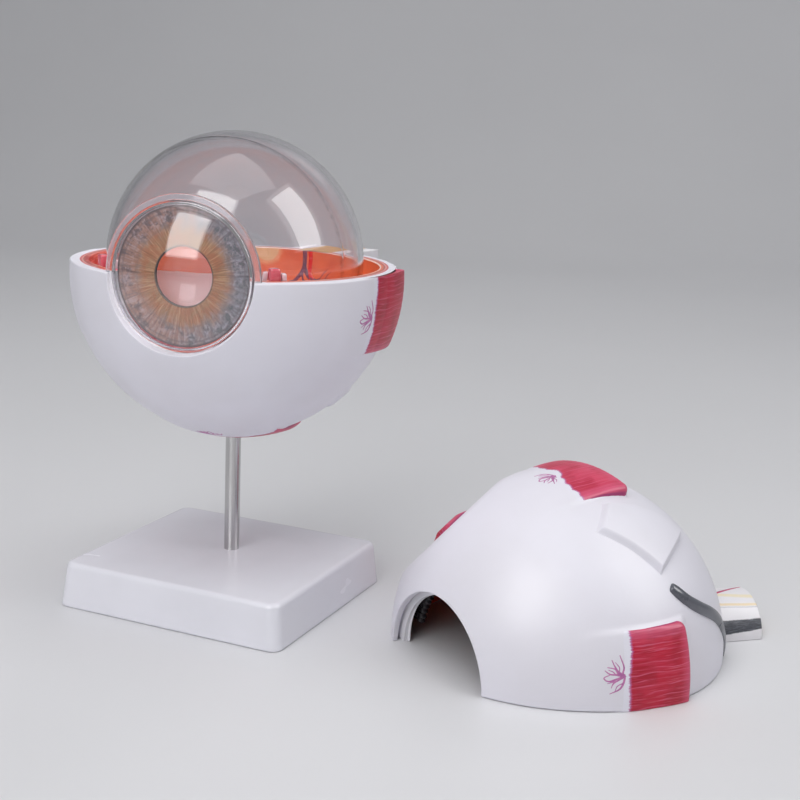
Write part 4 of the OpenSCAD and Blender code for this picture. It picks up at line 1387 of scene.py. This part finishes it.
def ball_rear():
    o = arc_pts(0, BALL_R, math.sqrt(BALL_R ** 2 - SPLIT ** 2), BALL_R, 20)
    t0 = math.acos(SPLIT / BALL_R)
    ang = np.concatenate([np.linspace(t0, t0 + 0.03, 14), np.linspace(t0 + 0.035, math.pi, 186)])
    ridge = 1 + 0.0008 * np.exp(-((ang - t0) / 0.010) ** 2)
    outer = np.stack([BALL_R * np.sin(ang) * ridge, BALL_R * np.cos(ang)], -1)
    t1 = math.acos(SPLIT / RI)
    ang = np.linspace(math.pi, t1, 190)
    inner = np.stack([RI * np.sin(ang), RI * np.cos(ang)], -1)
    # points for a weld bead inside the seam, which the profile below leaves out
    bead = rounded([(inner[-1][0], inner[-1][1]), (inner[-1][0] - 0.9, SPLIT + 0.0), (outer[0][0] - 0.5, SPLIT)], [0, 0, 0])
    pr = np.concatenate([outer, inner])
    pr[-1, 0] -= 0.0
    G = lathe(pr, 240, closed=True)
    G[..., 2] += BALL_Z
    b = Build().grid(G, True)
    return b.make("vitreous_rear_shell", LOWER, "vitreous", M_BALL, "vitreous_clear", ("vitreous_rear",), sharp=50, merge=0.004)


ball_f = ball_front()
ball_r = ball_rear()

M_WELD = clear_material("weld_clear", (0.985, 0.980, 0.985), 0.0, 1.0, 0.0)
for part in (ball_f, ball_r):
    # the faces that the two shells are welded by carry light straight on
    me = part.data
    me.materials.append(M_WELD)
    eye = np.zeros(len(me.vertices) * 3, np.float32)
    me.attributes["eye"].data.foreach_get("vector", eye)
    eye = eye.reshape(-1, 3) / MM
    for f in me.polygons:
        if all(abs(-eye[v][1] - SPLIT) < 0.02 for v in f.vertices):
            f.material_index = 1
# the flat of the stud behind the dent is frosted and tinted pink on its lower half, a painted reflection that lightens
# the lower half of the pupil
me = ball_f.data
me.materials.append(M_STUD)
eye = np.zeros(len(me.vertices) * 3, np.float32)
me.attributes["eye"].data.foreach_get("vector", eye)
eye = eye.reshape(-1, 3) / MM
flat = (np.abs(-eye[:, 1] - 43.5) < 0.05) & (np.hypot(eye[:, 0], eye[:, 2]) < 21.6) & (eye[:, 2] < 0.3)
for f in me.polygons:
    if all(flat[v] for v in f.vertices):
        f.material_index = 2

# lens
front = arc_pts(19.9, 38.0, 0.0, 18.7, 50, 1)
back = arc_pts(80.9, 34.0, 18.7, 0.0, 50, -1)
edge = rounded([tuple(front[-1]), (19.05, 52.95), (19.05, 52.6), tuple(back[0])], [0, 0.12, 0.12, 0], 4)
Build().grid(lathe(np.concatenate([front, edge[1:-1], back]), 180, closed=False), True).make(
    "crystalline_lens", LOWER, "vitreous", M_LENS, "lens_clear", ("lens",), sharp=45, merge=0.004)

# iris: printed disc with a rounded pupil edge and a slight dish
pr = rounded([(12.1, 58.6), (12.1, 59.75), (12.9, 59.82), (21.0, 59.7), (27.7, 59.86), (28.6, 59.7), (28.6, 58.6)],
             [0, 0.25, 0.3, 3.0, 0.3, 0.3, 0], 5)
Build().grid(lathe(pr, 260, closed=True), True).make("iris_disc", LOWER, "iris", M_IRIS, "iris_paint", ("iris",), sharp=55)

# cornea: dome, collar, flange
CC = 29.5238
dome = arc_pts(CC, 46.0, 0.0, 30.2, 80, 1)
rim = rounded([tuple(dome[-1]), (30.9, 63.6), (30.9, 62.0), (33.6, 62.0), (33.6, 60.2), (28.9, 60.2), (28.9, 62.6),
               (28.2, CC + math.sqrt(44 ** 2 - 28.2 ** 2))], [0, 0.7, 0.45, 0.5, 0.35, 0.4, 0.5, 0], 6)
inner = arc_pts(CC, 44.0, 28.2, 0.0, 80, 1)
cornea = Build().grid(lathe(np.concatenate([dome, rim[1:-1], inner]), 260, closed=False), True).make(
    "cornea_dome", LOWER, "cornea", M_CORNEA, "cornea_clear", ("cornea",), sharp=50, merge=0.004)
# collar and flange are satin
cornea.data.materials.append(M_CORNEA_EDGE)
eye = np.zeros(len(cornea.data.vertices) * 3, np.float32)
cornea.data.attributes["eye"].data.foreach_get("vector", eye)
eye = eye.reshape(-1, 3) / MM
satin = (-eye[:, 1] < 62.4) & (np.hypot(eye[:, 0], eye[:, 2]) > 30.6)
for f in cornea.data.polygons:
    if all(satin[v] for v in f.vertices):
        f.material_index = 1


# lamps shine through the clear pieces
for name in ("vitreous_front_shell", "vitreous_rear_shell", "crystalline_lens", "cornea_dome"):
    bpy.data.objects[name].visible_shadow = False


# =========================================================================
# blood vessels painted on the retina
# =========================================================================
def vessels(up):
    f = in_bowl(up)
    k = 64.4 * math.pi / 180
    art, vn = Build(), Build()
    s = 1
    # trunks leave the disc at the nerve and run over the retina
    trunks_a = [
        [(164.9, 0.4), (164.8, 4.0), (165.1, 10.5), (164.2, 15.0), (158.0, 24.0), (146.0, 33.0), (128.0, 40.0)],
    ]
    trunks_v = [
        [(167.9, 0.4), (168.0, 4.5), (168.3, 9.0), (171.0, 14.0), (177.0, 20.0), (187.0, 25.0), (200.0, 28.0), (216.0, 27.0)],
        [(168.1, 8.6), (167.0, 11.2), (163.6, 15.0), (156.0, 20.0), (144.0, 24.0), (128.0, 26.0)],
    ]
    g = rnd(51 if up else 52)

    def branchy(bld, trunk, w0, depth):
        p = [(a * k, w) for a, w in trunk]
        stroke(bld, p, [w0, w0 * 0.92, w0 * 0.7, w0 * 0.45, w0 * 0.2], 0.22, f)
        if depth == 0:
            return
        dense = spline(trunk, 60)
        for t in ((20, 1), (28, -1), (37, 1), (45, -1), (52, 1)):
            i, sd = t
            a0, w_ = dense[i]
            d = dense[i + 2] - dense[i - 2]
            d = d / max(1e-6, np.hypot(*d))
            nrm = np.array([-d[1], d[0]]) * sd
            L = (9 + 9 * g.rand()) * (1 if depth == 2 else 0.55)
            q1 = np.array([a0, w_]) + (d * 0.55 + nrm * 0.35) * L * 0.45
            q2 = q1 + (d * 0.45 + nrm * 0.65 + g.randn(2) * 0.12) * L * 0.5
            q3 = q2 + (d * 0.75 + nrm * 0.45 + g.randn(2) * 0.15) * L * 0.5
            br = [(a0, w_), tuple(q1), tuple(q2), tuple(q3)]
            if min(x[1] for x in br) < 0.8:
                continue
            branchy(bld, br, w0 * (0.55 - 0.004 * i), depth - 1)

    for t in trunks_a:
        branchy(art, t, 2.8, 2)
    for t in trunks_v:
        branchy(vn, t, 2.8, 2)
    tag = "upper" if up else "lower"
    art.make("retinal_arteries_" + tag, PLACE[up], BODY[up], M_ARTERY, "retina_paint", merge=0.0005, sharp=80)
    vn.make("retinal_veins_" + tag, PLACE[up], BODY[up], M_VEINLET, "retina_paint", merge=0.0005, sharp=80)


vessels(False)
vessels(True)


# =========================================================================
# stand
# =========================================================================
def rrect(w, d, r, n=14):
    pts = []
    for cx, cy, a0 in ((1, 1, 0), (-1, 1, 90), (-1, -1, 180), (1, -1, 270)):
        for k in range(n + 1):
            a = math.radians(a0 + 90 * k / n)
            pts.append((cx * (w / 2 - r) + r * math.cos(a), cy * (d / 2 - r) + r * math.sin(a)))
    return np.array(pts)


def stand_base():
    W, D, H, draft, wall = 112.6, 103.8, 20.0, 1.9, 3.0
    q = 2.3

    def ring(inset, z, r):
        p = rrect(W - 2 * inset, D - 2 * inset, r)
        return np.concatenate([p, np.full((len(p), 1), z)], 1)

    rows = [ring(0.35, 0.0, 4.8), ring(0.10, 0.10, 5.0), ring(0.0, 0.4, 5.1)]
    for t in np.linspace(0.06, 1, 9):
        z = 0.4 + (H - q - 0.4) * t
        rows.append(ring(draft * z / H, z, 5.1 + 0.4 * t))
    i0 = draft * (H - q) / H
    for k in range(1, 9):
        a = math.radians(90 * k / 8)
        rows.append(ring(i0 + q * (1 - math.cos(a)) + 0.15 * k / 8, H - q + q * math.sin(a), max(1.2, 5.5 - q * (1 - math.cos(a)))))
    rows.append(ring(i0 + q + 0.5, H, 3.4))
    rows.append(ring(i0 + q + 2.0, H, 3.2))
    rows.append(ring(i0 + q + 12.0, H + 0.0, 3.0))
    G = np.array(rows)
    b = Build().grid(G, True)
    b.ngon(G[-1])
    # hollow underside
    rin = [ring(0.35, 0.0, 4.8), ring(wall - 0.3, 0.0, 3.2), ring(wall, 0.3, 3.0)]
    for t in np.linspace(0.1, 1, 6):
        z = 0.3 + (H - wall - 1.6) * t
        rin.append(ring(wall + draft * z / H, z, 3.0))
    z1 = 0.3 + (H - wall - 1.6)
    for k in range(1, 6):
        a = math.radians(90 * k / 5)
        rin.append(ring(wall + draft * z1 / H + 1.3 * (1 - math.cos(a)), z1 + 1.3 * math.sin(a), 2.6))
    G2 = np.array(rin)
    b.grid(G2, True)
    b.ngon(G2[-1])
    for v in b.v:
        v[:, 1] -= 5.2
    o = b.make("stand_tray", WORLD, "stand", M_BASE, "stand_plastic", ("base_plate",), sharp=50)
    # boss and ribs under the top
    rb = Build()
    pr = rounded([(2.45, 16.9), (2.45, 4.0), (9.0, 4.0), (9.2, 17.0)], [0, 0.4, 0.6, 0], 4)
    rb.grid(lathe(pr, 96, closed=True, axis="v"), True)
    rb.make("stand_boss", WORLD, "stand", M_BASE, "stand_plastic", sharp=45)
    rb = Build()
    for (x0, x1, y0, y1) in ((8.6, 53.0, -1.25, 1.25), (-53.0, -8.6, -1.25, 1.25), (-1.25, 1.25, 8.6, 43.9), (-1.25, 1.25, -54.2, -8.6)):
        z0, z1 = 4.1, 17.05
        s = 0.35
        top = [(x0, y0, z1), (x1, y0, z1), (x1, y1, z1), (x0, y1, z1)]
        mid = [(x0, y0, z0 + s), (x1, y0, z0 + s), (x1, y1, z0 + s), (x0, y1, z0 + s)]
        if x1 - x0 > y1 - y0:
            low = [(x0, y0 + s, z0), (x1, y0 + s, z0), (x1, y1 - s, z0), (x0, y1 - s, z0)]
        else:
            low = [(x0 + s, y0, z0), (x1 - s, y0, z0), (x1 - s, y1, z0), (x0 + s, y1, z0)]
        rb.grid(np.array([top, mid, low], float), True)
        rb.ngon(top).ngon(low)
    rb.make("stand_ribs", WORLD, "stand", M_BASE, "stand_plastic", sharp=40)
    return o


stand_base()

# rod: chamfered ends, tapped foot
pr = rounded([(1.95, 7.0), (3.1, 7.0), (3.5, 7.4), (3.5, 93.2), (3.0, 93.7), (0.0, 93.7)], [0, 0.1, 0.2, 0.2, 0.2, 0], 4)
pr = np.concatenate([pr, [(0.0, 18.0), (1.95, 17.0)]])
Build().grid(lathe(pr, 96, closed=True, axis="v"), True).make("support_rod_steel", WORLD, "stand", M_ROD, "rod_steel", ("support_rod",), sharp=35)

# small hidden parts keep their own shape and get finished surfaces
for name, mat in (("base_washer", M_SCREW), ("base_screw", M_SCREW), ("rod_socket", M_SOCKET)):
    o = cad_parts[name]
    o.data.materials.clear()
    o.data.materials.append(mat)

# =========================================================================
# stage, light, camera
# =========================================================================
YAW, PITCH, ROLL = CAMERA_ANGLES = (-0.407, 0.220, 0.044)
CAM = Vector((308.42, -523.93, 229.33)) * MM
fwd = Vector((math.sin(YAW) * math.cos(PITCH), math.cos(YAW) * math.cos(PITCH), -math.sin(PITCH)))
right = Vector((math.cos(YAW), -math.sin(YAW), 0))
upv = right.cross(fwd)
r2 = math.cos(ROLL) * right + math.sin(ROLL) * upv
u2 = -math.sin(ROLL) * right + math.cos(ROLL) * upv
cam_data = bpy.data.cameras.new("camera")
cam = bpy.data.objects.new("camera", cam_data)
bpy.context.scene.collection.objects.link(cam)
cam.matrix_world = Matrix(((r2.x, u2.x, -fwd.x, CAM.x), (r2.y, u2.y, -fwd.y, CAM.y), (r2.z, u2.z, -fwd.z, CAM.z), (0, 0, 0, 1)))
cam_data.sensor_width = 36.0
cam_data.lens = 60.90
cam_data.clip_start, cam_data.clip_end = 0.01, 50.0
bpy.context.scene.camera = cam


def stage_floor():
    """Pale sweep: a floor that curves up behind the object."""
    n = Nodes("studio_sweep")
    co = n.obj()
    tone = n.noise(co, 3.0, 3.0, 0.5)
    fine = n.noise(co, 260.0, 3.0, 0.6)
    col = n.mix(tone, (0.73, 0.73, 0.75), (0.68, 0.68, 0.70))
    mat = n.shader(Base_Color=col, Roughness=0.42, Normal=n.bump(fine, 0.00004, 0.3), IOR=1.45)
    t = [(-3.2, 0.0), (-0.6, 0.0), (0.3, 0.0), (1.35, 0.0)]
    R = 0.9
    for k in range(1, 25):
        a = math.radians(90 * k / 24)
        t.append((1.35 + R * math.sin(a), R * (1 - math.cos(a))))
    t.append((1.35 + R, 3.2))
    s = np.linspace(-3.2, 3.2, 9)
    f2 = np.array([math.sin(YAW), math.cos(YAW)])
    s2 = np.array([math.cos(YAW), -math.sin(YAW)])
    verts = [(*(f2 * a + s2 * x), z) for a, z in t for x in s]
    c = len(s)
    faces = [(i * c + j, i * c + j + 1, (i + 1) * c + j + 1, (i + 1) * c + j) for i in range(len(t) - 1) for j in range(c - 1)]
    me = bpy.data.meshes.new("studio_sweep")
    me.from_pydata(verts, [], faces)
    me.shade_smooth()
    me.materials.append(mat)
    o = bpy.data.objects.new("studio_sweep", me)
    o.location.z = -0.0002
    bpy.context.scene.collection.objects.link(o)


Nodes.built = False
stage_floor()


def area(name, az, el, dist, w, h, power, target=(0.06, 0.0, 0.12), spin=0.0, colour=(1, 1, 1)):
    """Softbox at an azimuth (0 in front, 90 to the right) and elevation, aimed at the object."""
    d = Vector((math.sin(math.radians(az)) * math.cos(math.radians(el)), -math.cos(math.radians(az)) * math.cos(math.radians(el)), math.sin(math.radians(el))))
    data = bpy.data.lights.new(name, "AREA")
    data.shape = "RECTANGLE"
    data.size, data.size_y = w, h
    data.energy = power
    data.color = colour
    o = bpy.data.objects.new(name, data)
    o.rotation_mode = "QUATERNION"
    o.location = Vector(target) + d * dist
    o.rotation_quaternion = d.to_track_quat("Z", "Y")
    bpy.context.scene.collection.objects.link(o)
    return o


area("softbox_front", -2, 38, 1.25, 0.80, 1.05, 7.2, (0.02, 0, 0.15))
shine = area("softbox_front_shine", -2, 38, 1.24, 0.70, 0.95, 11.0, (0.02, 0, 0.15))
shine.visible_diffuse = False
shine.visible_transmission = False
area("softbox_right", 100, 36, 1.25, 0.75, 1.15, 3.0, (0.02, 0, 0.15))
shine = area("softbox_right_shine", 100, 36, 1.24, 0.55, 1.00, 10.0, (0.02, 0, 0.15))
shine.visible_diffuse = False
shine.visible_transmission = False
top_lamp = area("fill_top", -20, 84, 1.7, 1.4, 1.4, 14.5)
top_lamp.visible_glossy = False
back_lamp = area("backdrop_light", 166, 60, 1.9, 1.6, 0.8, 18.0, (-0.35, 1.6, 0.3))
back_lamp.visible_glossy = False
back_lamp.visible_transmission = False

world = bpy.data.worlds.new("studio")
bpy.context.scene.world = world
world.use_nodes = True
bg = world.node_tree.nodes["Background"]
bg.inputs[0].default_value = (0.86, 0.87, 0.90, 1)
bg.inputs[1].default_value = 0.235
bpy.context.scene.view_settings.view_transform = "Standard"
bpy.context.scene.cycles.sample_clamp_indirect = 2.0
bpy.context.scene.view_settings.look = "None"
